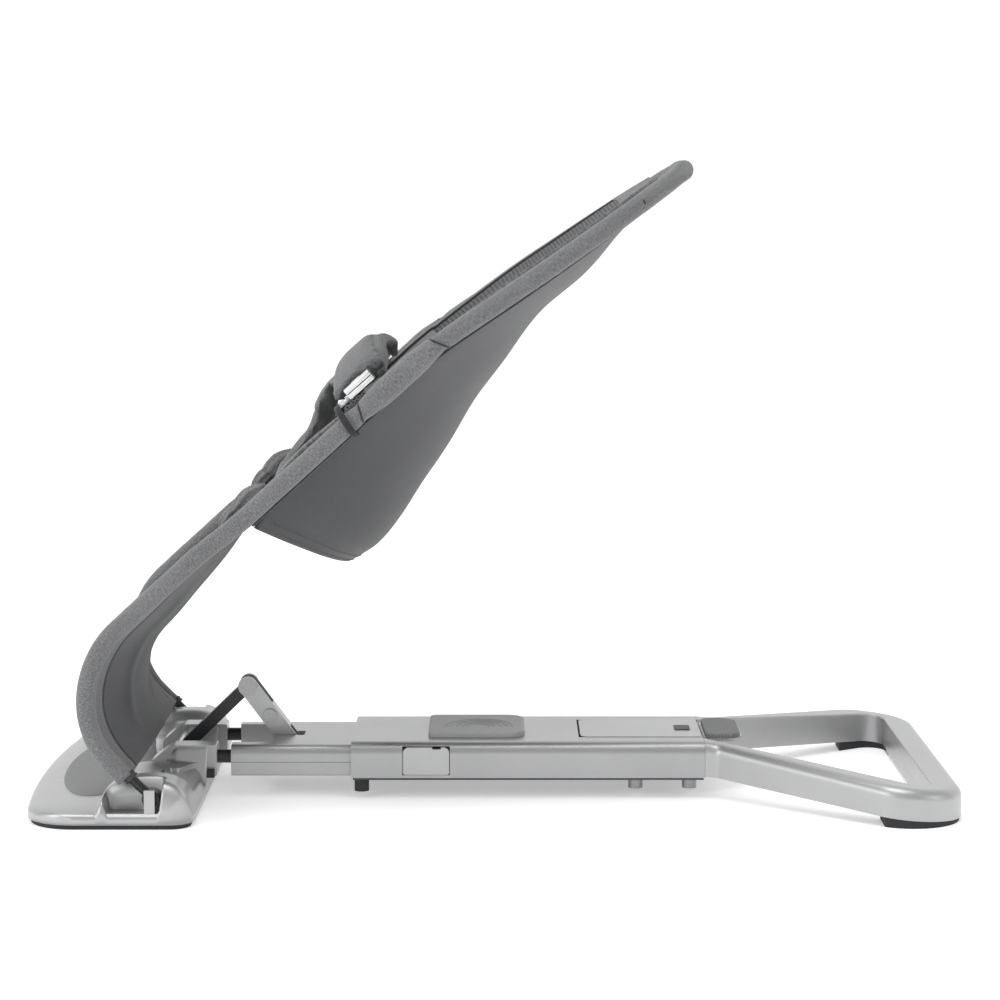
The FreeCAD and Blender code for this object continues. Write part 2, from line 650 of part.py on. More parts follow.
def loop_outer(inset):
    """Outer plan of the loop, closed across its front end."""
    front = D.sleeve_rear_x + 0.2 + inset
    rear = D.rear_x - inset
    angle = math.radians(D.loop_arm_angle)
    side = D.sleeve_half - inset
    start = D.loop_start_x + inset * math.tan(angle / 2)
    tip = side + (rear - start) * math.tan(angle)
    corner = D.loop_corner - inset
    return outline((front, -side), (start, -side, 12), (rear, -tip, corner),
                   (rear, tip, corner), (start, side, 12), (front, side))


def loop_inner(inset):
    """Inner triangle of the loop, running out through its open front end."""
    angle = math.radians(D.loop_inner_angle)
    front = D.sleeve_rear_x - 1
    bar_x = D.loop_bar_x + inset
    throat = D.loop_throat_y + inset / math.cos(angle)
    tip = throat + (bar_x - front) * math.tan(angle)
    corner = D.loop_inner_corner + inset
    return outline((front, -throat), (bar_x, -tip, corner), (bar_x, tip, corner), (front, throat))


def loop_top_edges(solid, beside):
    """Edges of the loop's sloping top that run along the wall of another solid."""
    edges = []
    for edge in solid.Edges:
        middle = edge.valueAt((edge.FirstParameter + edge.LastParameter) / 2)
        on_top = abs(middle.z - loop_height(middle.x, D.sleeve_top, D.loop_rear_top)) < 0.05
        behind_sleeve = middle.x > D.sleeve_rear_x + 1
        if on_top and behind_sleeve and beside.Shells[0].distToShape(Part.Vertex(middle))[0] < 0.01:
            edges.append(edge)
    return edges


def make_loop():
    plan = prism(loop_outer(0), -20, 90)
    opening = prism(loop_inner(0), -30, 100)
    solid = plan.common(loop_wedge(0, 0))
    solid = solid.makeFillet(D.sleeve_round - 1, loop_top_edges(solid, plan))
    solid = solid.cut(opening)
    solid = solid.makeFillet(1.5, loop_top_edges(solid, opening))
    cavity = prism(loop_outer(D.loop_wall), -20, 90).common(loop_wedge(D.loop_wall, 30))
    cavity = cavity.cut(prism(loop_inner(D.loop_wall), -30, 100))
    step = Part.makeBox(D.loop_wall + 2, 250, 20, V(D.loop_bar_x - 1, -125, -6))
    keep(feature("loop_frame", solid.cut(cavity).cut(step)), "loop_frame")
    base = block("loop_base", ("loop_bar_x", "rear_x - loop_wall"), ("-124.9", "124.9"),
                 ("loop_rear_bottom", "13.9"))
    keep(base, "loop_base")
    below = side_prism([(D.sleeve_rear_x, -60), (D.rear_x + 10, -60),
                        (D.rear_x + 10, loop_height(D.rear_x + 10, D.loop_front_bottom, D.loop_rear_bottom)),
                        (D.sleeve_rear_x, D.loop_front_bottom)], -2 * D.half_width, 2 * D.half_width)
    ring = prism(loop_outer(1.5), 0, 12).cut(prism(loop_inner(1.5), -1, 13)).common(below)
    for side, sign in SIDES:
        corner = Part.makeBox(70, 70, 20, V(D.rear_x - 70, min(sign * 125, sign * 195), -1))
        keep(feature(f"rear_sole_{side}", ring.common(corner)), f"rear_sole_{side}")


# ---------------------------------------------------------------- seat hoop, strut and fabric

def slope():
    """Unit vector up the back of the seat, from the knee to the head."""
    return V(D.head_x - D.knee_x, 0, D.head_z - D.knee_z).normalize()


def side_path(sign, skip):
    """Centre line of one side of the hoop, starting a given distance from the axle."""
    y = sign * D.hoop_y
    axle, toe = V(D.axle_x, y, D.axle_z), V(D.toe_x, y, D.toe_low_z)
    start = axle + (toe - axle).normalize() * skip
    head = V(D.head_x, y, D.head_z)
    points = [start, toe, V(D.toe_x, y, D.toe_high_z), V(D.knee_x, y, D.knee_z), head - slope() * D.head_span]
    return path(points, [0, 70, 85, 300, 0])


def head_path():
    """Half ellipse that closes the hoop at the head."""
    tip = V(D.head_x, 0, D.head_z)
    centre = tip - slope() * D.head_span
    ellipse = Part.Ellipse(tip, centre + V(0, D.hoop_y, 0), centre)
    return Part.Wire([Part.ArcOfEllipse(ellipse, -math.pi / 2, math.pi / 2).toShape()])


def piped(spine, radius):
    """Round bar along a path."""
    start = spine.Edges[0].firstVertex().Point
    if start.distanceToPoint(spine.OrderedVertexes[0].Point) > 1e-3:
        start = spine.OrderedVertexes[0].Point
    edge = spine.OrderedEdges[0]
    direction = edge.tangentAt(edge.FirstParameter)
    section = Part.Wire([Part.Circle(start, direction, radius).toShape()])
    return spine.makePipeShell([section], True, True)


def make_hoop():
    """Bent wire hoop with its end sockets, the axle and the lift strut."""
    reach = D.hub_outer_y
    axle = cylinder(D.axle_radius, V(D.axle_x, -reach, D.axle_z), V(D.axle_x, reach, D.axle_z))
    axle_bar = bar("seat_axle", "y", "axle_radius", ("axle_x", "-hub_outer_y", "axle_z"), "2 * hub_outer_y")
    keep(axle_bar, "seat_axle")
    sockets = []
    for _, sign in SIDES:
        low, high = sorted((sign * (D.hoop_y - 7), sign * (D.hoop_y + 7)))
        sockets.append(cylinder(D.socket_radius, V(D.axle_x, low, D.axle_z), V(D.axle_x, high, D.axle_z)))
    group("hoop_sockets", [socket.cut(axle) for socket in sockets])
    sides = [piped(side_path(sign, 3), D.hoop_radius) for _, sign in SIDES]
    hoop = piped(head_path(), D.hoop_radius).multiFuse(sides).removeSplitter()
    keep(feature("seat_hoop", hoop.cut(sockets)), "seat_hoop")
    start, end = (D.axle_x, D.axle_z), (D.link_top_x, D.link_top_z)
    strut = capsule(start, end, D.strut_half, -D.strut_half, D.strut_half)
    hub = cylinder(D.socket_radius, V(D.axle_x, -12, D.axle_z), V(D.axle_x, 12, D.axle_z))
    along = V(end[0] - start[0], 0, end[1] - start[1]).normalize()
    across = V(-along.z, 0, along.x)
    groove_start, groove_end = V(start[0], 0, start[1]) + along * 16, V(end[0], 0, end[1]) - along * 12
    groove = [groove_start + across * 2, groove_end + across * 2,
              groove_end + across * 9, groove_start + across * 9]
    channel = side_prism([(p.x, p.z) for p in groove], -2.5, 2.5)
    keep(feature("lift_strut", strut.cut(channel).fuse(hub).removeSplitter().cut(axle)), "lift_strut")


def make_rims():
    """Padded tubes of fabric over the hoop."""
    for side, sign in SIDES:
        spine = side_path(sign, 27)
        pad = piped(spine, D.rim_radius).cut(piped(spine, D.hoop_radius + 0.2))
        keep(feature(f"rim_pad_{side}", pad), f"rim_pad_{side}")
    spine = head_path()
    keep(feature("head_roll", piped(spine, D.rim_radius).cut(piped(spine, D.hoop_radius + 0.2))), "head_roll")


def hang(rim, deep, half):
    """Points across the seat at one station: a curve that hangs between the rims."""
    points = []
    for step in range(-6, 7):
        sag = 1 - abs(step / 6) ** 1.6
        points.append(V(rim[0] + (deep[0] - rim[0]) * sag, half * step / 6,
                        rim[1] + (deep[1] - rim[1]) * sag))
    return points


# rim (x, z) and lowest (x, z) on the centre line, from the front hem up to the knee
SEAT_STATIONS = (
    ((-198, 254), (-127, 206)),
    ((-180, 284), (-103, 220)),
    ((-157, 311), (-80, 247)),
    ((-129, 335), (-60, 279)),
    ((-99, 359), (-37, 314)),
    ((-67, 387), (-14, 352)),
    ((-27, 418), (12, 386)),
)
# distance up the head ellipse and the depth of the cloth below it
HEAD_STATIONS = ((10, 33), (60, 27), (105, 15), (140, 8), (165, 4))


def seat_sections(inset):
    """All stations of the seat, whose cloth ends short of the rims' centre lines."""
    margin = D.rim_radius + 0.5 + inset
    half = D.hoop_y - margin
    sections = [hang(rim, deep, half) for rim, deep in SEAT_STATIONS]
    start = V(D.head_x, 0, D.head_z) - slope() * D.head_span
    below = V(slope().z, 0, -slope().x)
    for distance, depth in HEAD_STATIONS:
        rim = start + slope() * distance
        deep = rim + below * depth
        reach = half * math.sqrt(1 - (distance / (D.head_span - margin - 1)) ** 2) - 0.3
        sections.append(hang((rim.x, rim.z), (deep.x, deep.z), reach))
    return sections


def cloth(sections, lift, thick):
    """Thin closed solid of constant thickness over a smooth surface through the sections."""
    surface = Part.BSplineSurface()
    surface.interpolate(sections)
    face = surface.toShape()
    face.translate(lift)
    return face.makeOffsetShape(thick, 0.01, fill=True)


def make_cloth():
    inward = V(-slope().z, 0, slope().x)
    keep(feature("sling", cloth(seat_sections(0), V(0, 0, 0), D.cloth_thick)), "sling")
    keep(feature("seat_liner", cloth(seat_sections(2), inward * 7.5, 1.8)), "seat_liner")
    knee = V(D.knee_x, 0, D.knee_z)
    centre = V(D.toe_x, 0, D.toe_high_z)
    along = (knee - centre).normalize()
    crotch = centre + along * 178
    axle, toe = V(D.axle_x, 0, D.axle_z), V(D.toe_x, 0, D.toe_low_z)
    start = axle + (toe - axle).normalize() * 26
    half = D.hoop_y - D.rim_radius - 0.5
    line = path([start, toe, centre, crotch], [0, 70, 85, 0]).discretize(Number=13)
    sections = []
    for i, point in enumerate(line):
        forward = (line[min(i + 1, 12)] - line[max(i - 1, 0)]).normalize()
        slack = 5 + 23 * math.sin(math.pi * (i / 12) ** 0.8)
        deep = point + V(forward.z, 0, -forward.x) * slack
        sections.append(hang((point.x, point.z), (deep.x, deep.z), half))
    keep(feature("leg_panel", cloth(sections, V(0, 0, 0), D.cloth_thick)), "leg_panel")


# ---------------------------------------------------------------- harness

# the harness's own frame: u up the seat, w away from it, origin on the rim's centre line
HARNESS_FRAME = FreeCAD.Placement(V(-97.5, 0, 362), FreeCAD.Rotation(V(0, 1, 0), -42))


def arch(inner_rise, thick, half, low_u, high_u):
    """Arched pad across the seat: an arc of cloth of constant thickness."""
    ends = 9
    outer = Part.Arc(V(low_u, -half, ends + thick), V(low_u, 0, inner_rise + thick),
                     V(low_u, half, ends + thick))
    inner = Part.Arc(V(low_u, half, ends), V(low_u, 0, inner_rise), V(low_u, -half, ends))
    sides = [Part.LineSegment(outer.EndPoint, inner.StartPoint),
             Part.LineSegment(inner.EndPoint, outer.StartPoint)]
    face = Part.Face(Part.Wire([outer.toShape(), sides[0].toShape(), inner.toShape(), sides[1].toShape()]))
    return face.extrude(V(high_u - low_u, 0, 0))


def make_harness():
    chest = arch(24, 12, 148, -28, 30)
    stem = side_prism([(-133, -12), (-60, 0), (-34, 20), (-27, 25), (-27, 35), (-40, 29),
                       (-66, 10), (-133, -2)], -38, 38)
    root = cylinder(5, V(-133, -38, -7), V(-133, 38, -7))
    panel = chest.multiFuse([stem, root]).removeSplitter()
    keep(feature("harness_panel", panel, HARNESS_FRAME), "harness_panel")
    rings = []
    for side, sign in SIDES:
        near = min(sign * 150, sign * 172)
        clip = Part.makeBox(28, 22, 9, V(-14, near, 13))
        clip = clip.makeFillet(2.5, clip.Edges)
        pocket_low = min(sign * 155.5, sign * 166.5)
        clip = clip.cut(Part.makeBox(11, 11, 3, V(-5.5, pocket_low, 19.5)))
        keep(feature(f"clip_body_{side}", clip, HARNESS_FRAME), f"clip_body_{side}")
        button_low = min(sign * 156, sign * 166)
        button = Part.makeBox(10, 10, 2.6, V(-5, button_low, 21.1))
        button = button.makeFillet(0.8, [e for e in button.Edges if e.BoundBox.ZMin > 23])
        keep(feature(f"clip_button_{side}", button, HARNESS_FRAME), f"clip_button_{side}")
        centre = V(-33, sign * D.hoop_y, 0)
        ring = Part.makeCylinder(D.rim_radius + 2.4, 9, centre, V(1, 0, 0))
        inside = Part.makeCylinder(D.rim_radius + 0.8, 9, centre, V(1, 0, 0))
        opening = Part.makeBox(11, 40, 40, V(-34, min(sign * 124, sign * 164), -20))
        rings.append(ring.cut([inside, opening]))
    keep(feature("strap_loops", Part.makeCompound(rings), HARNESS_FRAME), "strap_loops")


# ---------------------------------------------------------------- build, check and write

def build():
    shell = make_foot()
    for side, sign in SIDES:
        make_hub(side, sign, shell)
    doc.recompute()
    make_retainers(shell)
    backings = [make_button(side, sign) for side, sign in SIDES]
    group("button_carriers", [carrier for carrier, _ in backings])
    group("button_springs", [leaf for _, leaf in backings])
    make_yoke()
    make_rail()
    make_bracket()
    make_sleeve()
    make_lever()
    make_loop()
    make_hoop()
    make_rims()
    make_cloth()
    make_harness()
    doc.recompute()


def write():
    for obj in doc.Objects:
        if "Invalid" in obj.State or "Error" in obj.State:
            raise RuntimeError(f"{obj.Name} failed: {obj.State}")
    for obj in finished:
        shape = obj.Shape
        if shape.isNull() or not shape.isValid() or not shape.Solids:
            raise RuntimeError(f"{obj.Label} has no valid solid")
        if any(solid.Volume <= 0 for solid in shape.Solids):
            raise RuntimeError(f"{obj.Label} is inside out")
    for obj in finished:
        obj.Shape.exportStep(f"parts/{obj.Label}.step")
    print(len(finished), "sub-parts written")


build()
write()
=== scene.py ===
import bpy, bmesh
import json
import math
from mathutils import Matrix, Vector, noise


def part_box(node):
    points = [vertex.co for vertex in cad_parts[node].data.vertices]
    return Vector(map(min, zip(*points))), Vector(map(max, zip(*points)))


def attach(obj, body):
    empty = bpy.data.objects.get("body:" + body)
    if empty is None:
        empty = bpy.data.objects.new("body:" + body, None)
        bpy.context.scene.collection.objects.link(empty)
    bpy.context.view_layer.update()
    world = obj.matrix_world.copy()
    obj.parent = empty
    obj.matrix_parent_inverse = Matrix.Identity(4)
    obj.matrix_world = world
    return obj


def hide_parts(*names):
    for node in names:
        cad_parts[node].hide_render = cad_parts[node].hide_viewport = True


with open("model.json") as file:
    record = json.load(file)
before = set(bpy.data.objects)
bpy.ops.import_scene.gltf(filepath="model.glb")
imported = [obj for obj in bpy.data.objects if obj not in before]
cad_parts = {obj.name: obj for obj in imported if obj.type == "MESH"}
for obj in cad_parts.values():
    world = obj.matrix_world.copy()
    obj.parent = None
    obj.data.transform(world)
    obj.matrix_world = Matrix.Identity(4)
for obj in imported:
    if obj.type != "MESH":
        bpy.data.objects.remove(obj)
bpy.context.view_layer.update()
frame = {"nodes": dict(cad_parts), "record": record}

V = Vector
SIDES = (("left", -1), ("right", 1))


# ---------------------------------------------------------------- materials

class Finish:
    """A Principled material and short calls that add nodes to it."""

    def __init__(self, name, roughness, **constants):
        self.material = bpy.data.materials.new(name)
        self.material.use_nodes = True
        self.tree = self.material.node_tree
        self.shader = self.tree.nodes["Principled BSDF"]
        self.shader.inputs["Roughness"].default_value = roughness
        for socket, value in constants.items():
            self.shader.inputs[socket.replace("_", " ")].default_value = value

    def node(self, kind, inputs, output=0, **settings):
        made = self.tree.nodes.new("ShaderNode" + kind)
        for key, value in settings.items():
            setattr(made, key, value)
        for key, value in inputs.items():
            if isinstance(value, bpy.types.NodeSocket):
                self.tree.links.new(value, made.inputs[key])
            else:
                made.inputs[key].default_value = value
        return made.outputs[output]

    def math(self, operation, a, b=0.0):
        return self.node("Math", {0: a, 1: b}, operation=operation)

    def add(self, a, b):
        return self.math("ADD", a, b)

    def times(self, a, b):
        return self.math("MULTIPLY", a, b)

    def noise(self, where, scale, detail=3.0, roughness=0.55):
        settings = {"Vector": where, "Scale": scale, "Detail": detail, "Roughness": roughness}
        return self.node("TexNoise", settings)

    def stretched(self, where, scale):
        return self.node("Mapping", {"Vector": where, "Scale": scale})

    def place(self):
        return self.node("TexCoord", {}, output=3)

    def weave(self):
        """Place on the cloth in metres, stored on the mesh."""
        return self.node("Attribute", {}, output=1, attribute_name="weave")

    def ramp(self, factor, stops):
        made = self.tree.nodes.new("ShaderNodeValToRGB")
        self.tree.links.new(factor, made.inputs[0])
        elements = made.color_ramp.elements
        while len(elements) < len(stops):
            elements.new(0.5)
        for element, (position, tone) in zip(elements, stops):
            element.position = position
            red, green, blue = tone if isinstance(tone, tuple) else (tone, tone, tone)
            element.color = (red, green, blue, 1)
        return made.outputs[0]

    def color(self, factor, stops):
        self.tree.links.new(self.ramp(factor, stops), self.shader.inputs["Base Color"])

    def rough(self, factor, low, high):
        span = self.node("MapRange", {0: factor, 3: low, 4: high})
        self.tree.links.new(span, self.shader.inputs["Roughness"])

    def bump(self, height, distance, strength=1.0, under=None):
        inputs = {"Height": height, "Distance": distance, "Strength": strength}
        if under is not None:
            inputs["Normal"] = under
        normal = self.node("Bump", inputs)
        self.tree.links.new(normal, self.shader.inputs["Normal"])
        return normal


def neutral(tone, blue=0.006):
    return (tone, tone + blue / 3, tone + blue)


def silver(name, tone, roughness, metallic, flake):
    """Satin metallic paint: fine flakes, faint mottling and slight wear in the gloss."""
    f = Finish(name, roughness, Metallic=metallic, Coat_Weight=0.12, Coat_Roughness=0.25)
    place = f.place()
    fine = f.noise(place, 2600, 2, 0.7)
    broad = f.noise(place, 14, 4, 0.5)
    mixed = f.add(f.times(fine, 0.6), f.times(broad, 0.4))
    bright = min(tone * (1 + flake), 0.95)
    f.color(mixed, [(0.3, neutral(tone * (1 - flake))), (0.5, neutral(tone)), (0.7, neutral(bright))])
    wear = f.add(f.times(f.noise(place, 60, 5, 0.6), 0.7), f.times(fine, 0.3))
    f.rough(wear, roughness - 0.06, roughness + 0.08)
    f.bump(fine, 0.00003, 0.5)
    return f.material


def grained(name, tone, roughness, scale, depth, spread=0.25, **constants):
    """Moulded plastic or rubber with a leathery grain."""
    f = Finish(name, roughness, **constants)
    place = f.place()
    cells = f.node("TexVoronoi", {"Vector": place, "Scale": scale}, feature="F1")
    soft = f.noise(place, scale * 0.4, 4, 0.6)
    f.color(f.add(f.times(cells, 0.6), f.times(soft, 0.5)),
            [(0.2, neutral(tone * (1 - spread))), (0.8, neutral(tone * (1 + spread)))])
    f.rough(soft, roughness - 0.08, roughness + 0.1)
    f.bump(f.add(cells, soft), depth)
    return f.material


def brushed(name, tone, roughness, metallic, axis_scale):
    """Drawn metal: streaks along the bar."""
    f = Finish(name, roughness, Metallic=metallic)
    streak = f.noise(f.stretched(f.place(), axis_scale), 1.0, 5, 0.65)
    f.color(streak, [(0.25, neutral(tone * 0.75)), (0.75, neutral(tone * 1.25))])
    f.rough(streak, roughness - 0.07, roughness + 0.1)
    f.bump(streak, 0.00004, 0.6)
    return f.material


def knit_height(f, u, v, wale, course):
    """Height of a plain knit: columns of slanted loops."""
    across = f.math("FRACT", f.times(u, 1 / wale))
    edge = f.times(f.math("ABSOLUTE", f.math("SUBTRACT", across, 0.5)), 2.0)
    along = f.add(f.times(v, 1 / course), f.times(edge, 0.5))
    wave = f.add(f.times(f.math("SINE", f.times(along, 2 * math.pi)), 0.5), 0.5)
    column = f.math("SUBTRACT", 1.0, f.math("POWER", edge, 3.0))
    return f.times(column, wave)


def jersey(name, tone, heather, woven=True, wale=0.0013, course=0.0011, depth=0.00018,
           grain=(260, 1500, 700)):
    """Knitted cloth; heather is how strongly light and dark fibres are mixed, grain how the streaks run."""
    f = Finish(name, 0.88, Sheen_Weight=0.35, Sheen_Roughness=0.45, Specular_IOR_Level=0.25)
    place = f.weave() if woven else f.place()
    parts = f.node("SeparateXYZ", {0: place})
    x, y, z = parts.node.outputs
    u, v = (x, y) if woven else (y, f.add(f.times(x, 0.743), f.times(z, 0.669)))
    loops = knit_height(f, u, v, wale, course)
    streaks = f.noise(f.stretched(place, grain), 1.0, 4, 0.75)
    fleck = f.noise(f.stretched(place, (900, 420, 800)), 1.0, 3, 0.6)
    cloud = f.noise(f.place(), 22, 3, 0.5)
    mixed = f.add(f.add(f.times(streaks, 0.5), f.times(fleck, 0.3)),
                  f.add(f.times(cloud, 0.08), f.times(loops, 0.18)))
    shades = ((0.36, -0.75), (0.47, -0.15), (0.55, 0.45), (0.66, 1.3))
    f.color(mixed, [(stop, neutral(tone * (1 + change * heather))) for stop, change in shades])
    f.bump(f.add(loops, f.times(streaks, 0.5)), depth)
    return f.material


def hexagon_mesh(name, tone, pitch=0.0042, hole=0.0014):
    """Spacer mesh: rows of round holes, each row shifted by half a pitch."""
    f = Finish(name, 0.85, Sheen_Weight=0.2, Specular_IOR_Level=0.25)
    parts = f.node("SeparateXYZ", {0: f.weave()})
    u, v, _ = parts.node.outputs
    row = pitch * math.sqrt(3)

    def distance(shift):
        du = f.times(f.math("SUBTRACT", f.math("FRACT", f.add(f.times(u, 1 / pitch), shift)), 0.5), pitch)
        dv = f.times(f.math("SUBTRACT", f.math("FRACT", f.add(f.times(v, 1 / row), shift)), 0.5), row)
        return f.math("SQRT", f.add(f.times(du, du), f.times(dv, dv)))

    nearest = f.math("MINIMUM", distance(0.0), distance(0.5))
    solid = f.node("MapRange", {0: nearest, 1: hole * 0.8, 2: hole * 1.25}, interpolation_type="SMOOTHSTEP")
    thread = f.noise(f.stretched(f.weave(), (2400, 2400, 2400)), 1.0, 2)
    shades = ((0.1, 0.06), (0.55, 0.35), (0.8, 1.0), (1.0, 1.5))
    f.color(f.add(f.times(solid, 0.75), f.times(thread, 0.25)),
            [(stop, neutral(tone * share)) for stop, share in shades])
    f.bump(solid, 0.0009)
    return f.material


def webbing(name, tone):
    """Narrow woven tape."""
    f = Finish(name, 0.8, Sheen_Weight=0.2, Specular_IOR_Level=0.3)
    place = f.place()
    x, y, z = f.node("SeparateXYZ", {0: place}).node.outputs
    diagonal = f.math("SINE", f.times(f.add(f.add(x, z), f.times(y, 0.7)), 5200))
    other = f.math("SINE", f.times(f.math("SUBTRACT", f.add(x, z), f.times(y, 0.7)), 5200))
    height = f.add(f.times(f.times(diagonal, other), 0.5), 0.5)
    f.color(height, [(0.2, neutral(tone * 0.6)), (0.8, neutral(tone * 1.6))])
    f.bump(height, 0.0002)
    return f.material


def glossy(name, tone):
    """Polished moulding with a barely uneven surface."""
    f = Finish(name, 0.16, Metallic=0.35, Coat_Weight=0.6, Coat_Roughness=0.06)
    place = f.place()
    soft = f.noise(place, 120, 3)
    f.color(soft, [(0.3, neutral(tone * 0.95)), (0.7, neutral(tone * 1.05))])
    f.rough(soft, 0.12, 0.24)
    f.bump(soft, 0.00003)
    return f.material


def dotted_grip(name, tone):
    """Soft pad with rows of small raised dots."""
    f = Finish(name, 0.6, Specular_IOR_Level=0.35)
    place = f.place()
    x, y, _ = f.node("SeparateXYZ", {0: place}).node.outputs
    pitch = 0.0026
    waves = [f.math("SINE", f.times(way, 2 * math.pi / pitch)) for way in (x, y)]
    dots = f.times(*waves)
    grain = f.noise(place, 900, 4, 0.7)
    f.color(f.add(f.times(dots, 0.2), grain), [(0.3, neutral(tone * 0.7)), (0.75, neutral(tone * 1.3))])
    f.bump(f.add(f.times(dots, 0.5), grain), 0.00035)
    return f.material


def pale_floor():
    f = Finish("studio_floor", 0.9, Specular_IOR_Level=0.1,
               Emission_Color=(1, 1, 1, 1), Emission_Strength=0.38)
    f.color(f.noise(f.place(), 3, 2), [(0.3, 0.9), (0.7, 0.93)])
    return f.material


FINISHES = {
    "silver_paint": silver("silver_paint_satin", 0.39, 0.36, 0.85, 0.10),
    "silver_plastic": silver("silver_plastic_satin", 0.44, 0.38, 0.80, 0.08),
    "dark_plastic": grained("dark_plastic_fine", 0.035, 0.5, 900, 0.00006),
    "soft_grip": grained("soft_grip_grain", 0.085, 0.62, 1100, 0.00012, Specular_IOR_Level=0.35),
    "rubber": grained("sole_rubber", 0.022, 0.75, 700, 0.0001),
    "steel": brushed("steel_satin", 0.30, 0.3, 1.0, (900, 60, 900)),
    "black_steel": brushed("black_enamel_rod", 0.02, 0.28, 0.3, (60, 700, 700)),
    "heather_fabric": jersey("heather_jersey", 0.150, 0.85, grain=(1400, 230, 700)),
    "sling_fabric": jersey("smooth_knit", 0.068, 0.16, wale=0.0011, course=0.0009, depth=0.00008),
    "mesh_fabric": hexagon_mesh("spacer_mesh", 0.10),
    "strap_webbing": webbing("black_webbing", 0.018),
    "clip_plastic": glossy("silver_gloss", 0.68),
}
HEATHER_LOOSE = jersey("heather_jersey_loose", 0.15, 0.55, woven=False)
HEATHER_DARK = jersey("heather_jersey_dark", 0.085, 0.9, woven=False)
HEATHER_PALE = jersey("heather_jersey_pale", 0.25, 0.3)
# side bands of the leg panel: a sewn band of heather jersey, its tone lowered below the rim's heather as
# painted shade for its steep faces
HEATHER_BAND_PAINTED_SHADE = jersey("heather_jersey_band_painted_shade", 0.125, 0.6)
# back of the leg panel: the sling's smooth knit with its tone lowered from 0.068 to 0.050 as painted shade,
# for the back hanging in more shadow
LEG_BACK_PAINTED_SHADE = jersey("smooth_knit_painted_shade", 0.050, 0.16, wale=0.0011, course=0.0009, depth=0.00008)
BADGE_GRIP = grained("badge_pad_grain", 0.38, 0.6, 1300, 0.0001, spread=0.14, Specular_IOR_Level=0.3)
SEAM = jersey("seam_thread", 0.03, 0.3, woven=False)
STITCH = jersey("stitch_thread", 0.09, 0.2, woven=False)
TOE_GRIP = grained("toe_pad_grain", 0.20, 0.55, 1500, 0.00008, spread=0.12, Specular_IOR_Level=0.3)
PEDAL_GRIP = dotted_grip("pedal_pad_dots", 0.20)
OWN_FINISH = {"pedal_pad": PEDAL_GRIP, "badge_pad": BADGE_GRIP}

SLOTS = {part["node"]: part["material_slot"] for part in frame["record"]["subparts"]}
for name, obj in frame["nodes"].items():
    finish = OWN_FINISH.get(name, FINISHES[SLOTS[name]])
    if len(obj.material_slots) == 0:
        obj.data.materials.append(finish)
    for slot in obj.material_slots:
        slot.material = finish


# ---------------------------------------------------------------- mesh helpers

def piece(name, vertices, faces, materials, body="seat", face_material=None, weave=None):
    """Object from a mesh in the frame's coordinates, riding on a body."""
    mesh = bpy.data.meshes.new(name)
    mesh.from_pydata([tuple(v) for v in vertices], [], faces)
    for material in materials:
        mesh.materials.append(material)
    if face_material:
        mesh.polygons.foreach_set("material_index", face_material)
    mesh.polygons.foreach_set("use_smooth", [True] * len(mesh.polygons))
    if weave:
        stored = mesh.attributes.new("weave", "FLOAT_VECTOR", "CORNER")
        stored.data.foreach_set("vector", [c for corner in weave for c in (corner[0], corner[1], 0.0)])
    mesh.update()
    obj = bpy.data.objects.new(name, mesh)
    bpy.context.scene.collection.objects.link(obj)
    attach(obj, body)
    return obj


def smooth(low, high, value):
    share = min(max((value - low) / (high - low), 0.0), 1.0)
    return share * share * (3 - 2 * share)


def rounded(points, radii, step, closed=False):
    """Even samples along straight runs joined by tangent arcs."""
    count = len(points)
    line = []
    for i, corner in enumerate(points):
        if not radii[i] or (not closed and i in (0, count - 1)):
            line.append(corner.copy())
            continue
        before, after = points[i - 1], points[(i + 1) % count]
        a, b = (before - corner).normalized(), (after - corner).normalized()
        half = a.angle(b) / 2
        reach = radii[i] / math.tan(half)
        centre = corner + (a + b).normalized() * (radii[i] / math.sin(half))
        start, end = corner + a * reach - centre, corner + b * reach - centre
        turn = start.angle(end)
        pieces = max(int(turn * radii[i] / step), 6)
        for k in range(pieces + 1):
            share = k / pieces
            spoke = start * math.sin((1 - share) * turn) + end * math.sin(share * turn)
            line.append(centre + spoke / math.sin(turn))
    return resampled(line + line[:1] if closed else line, step)


def resampled(line, step):
    """Points at equal distances along a line of points."""
    lengths = [0.0]
    for a, b in zip(line, line[1:]):
        lengths.append(lengths[-1] + (b - a).length)
    count = max(round(lengths[-1] / step), 2)
    result = []
    k = 0
    for i in range(count + 1):
        want = lengths[-1] * i / count
        while k < len(lengths) - 2 and lengths[k + 1] < want:
            k += 1
        span = max(lengths[k + 1] - lengths[k], 1e-9)
        result.append(line[k].lerp(line[k + 1], min((want - lengths[k]) / span, 1.0)))
    return result


def directions(line):
    return [(line[min(i + 1, len(line) - 1)] - line[max(i - 1, 0)]).normalized() for i in range(len(line))]


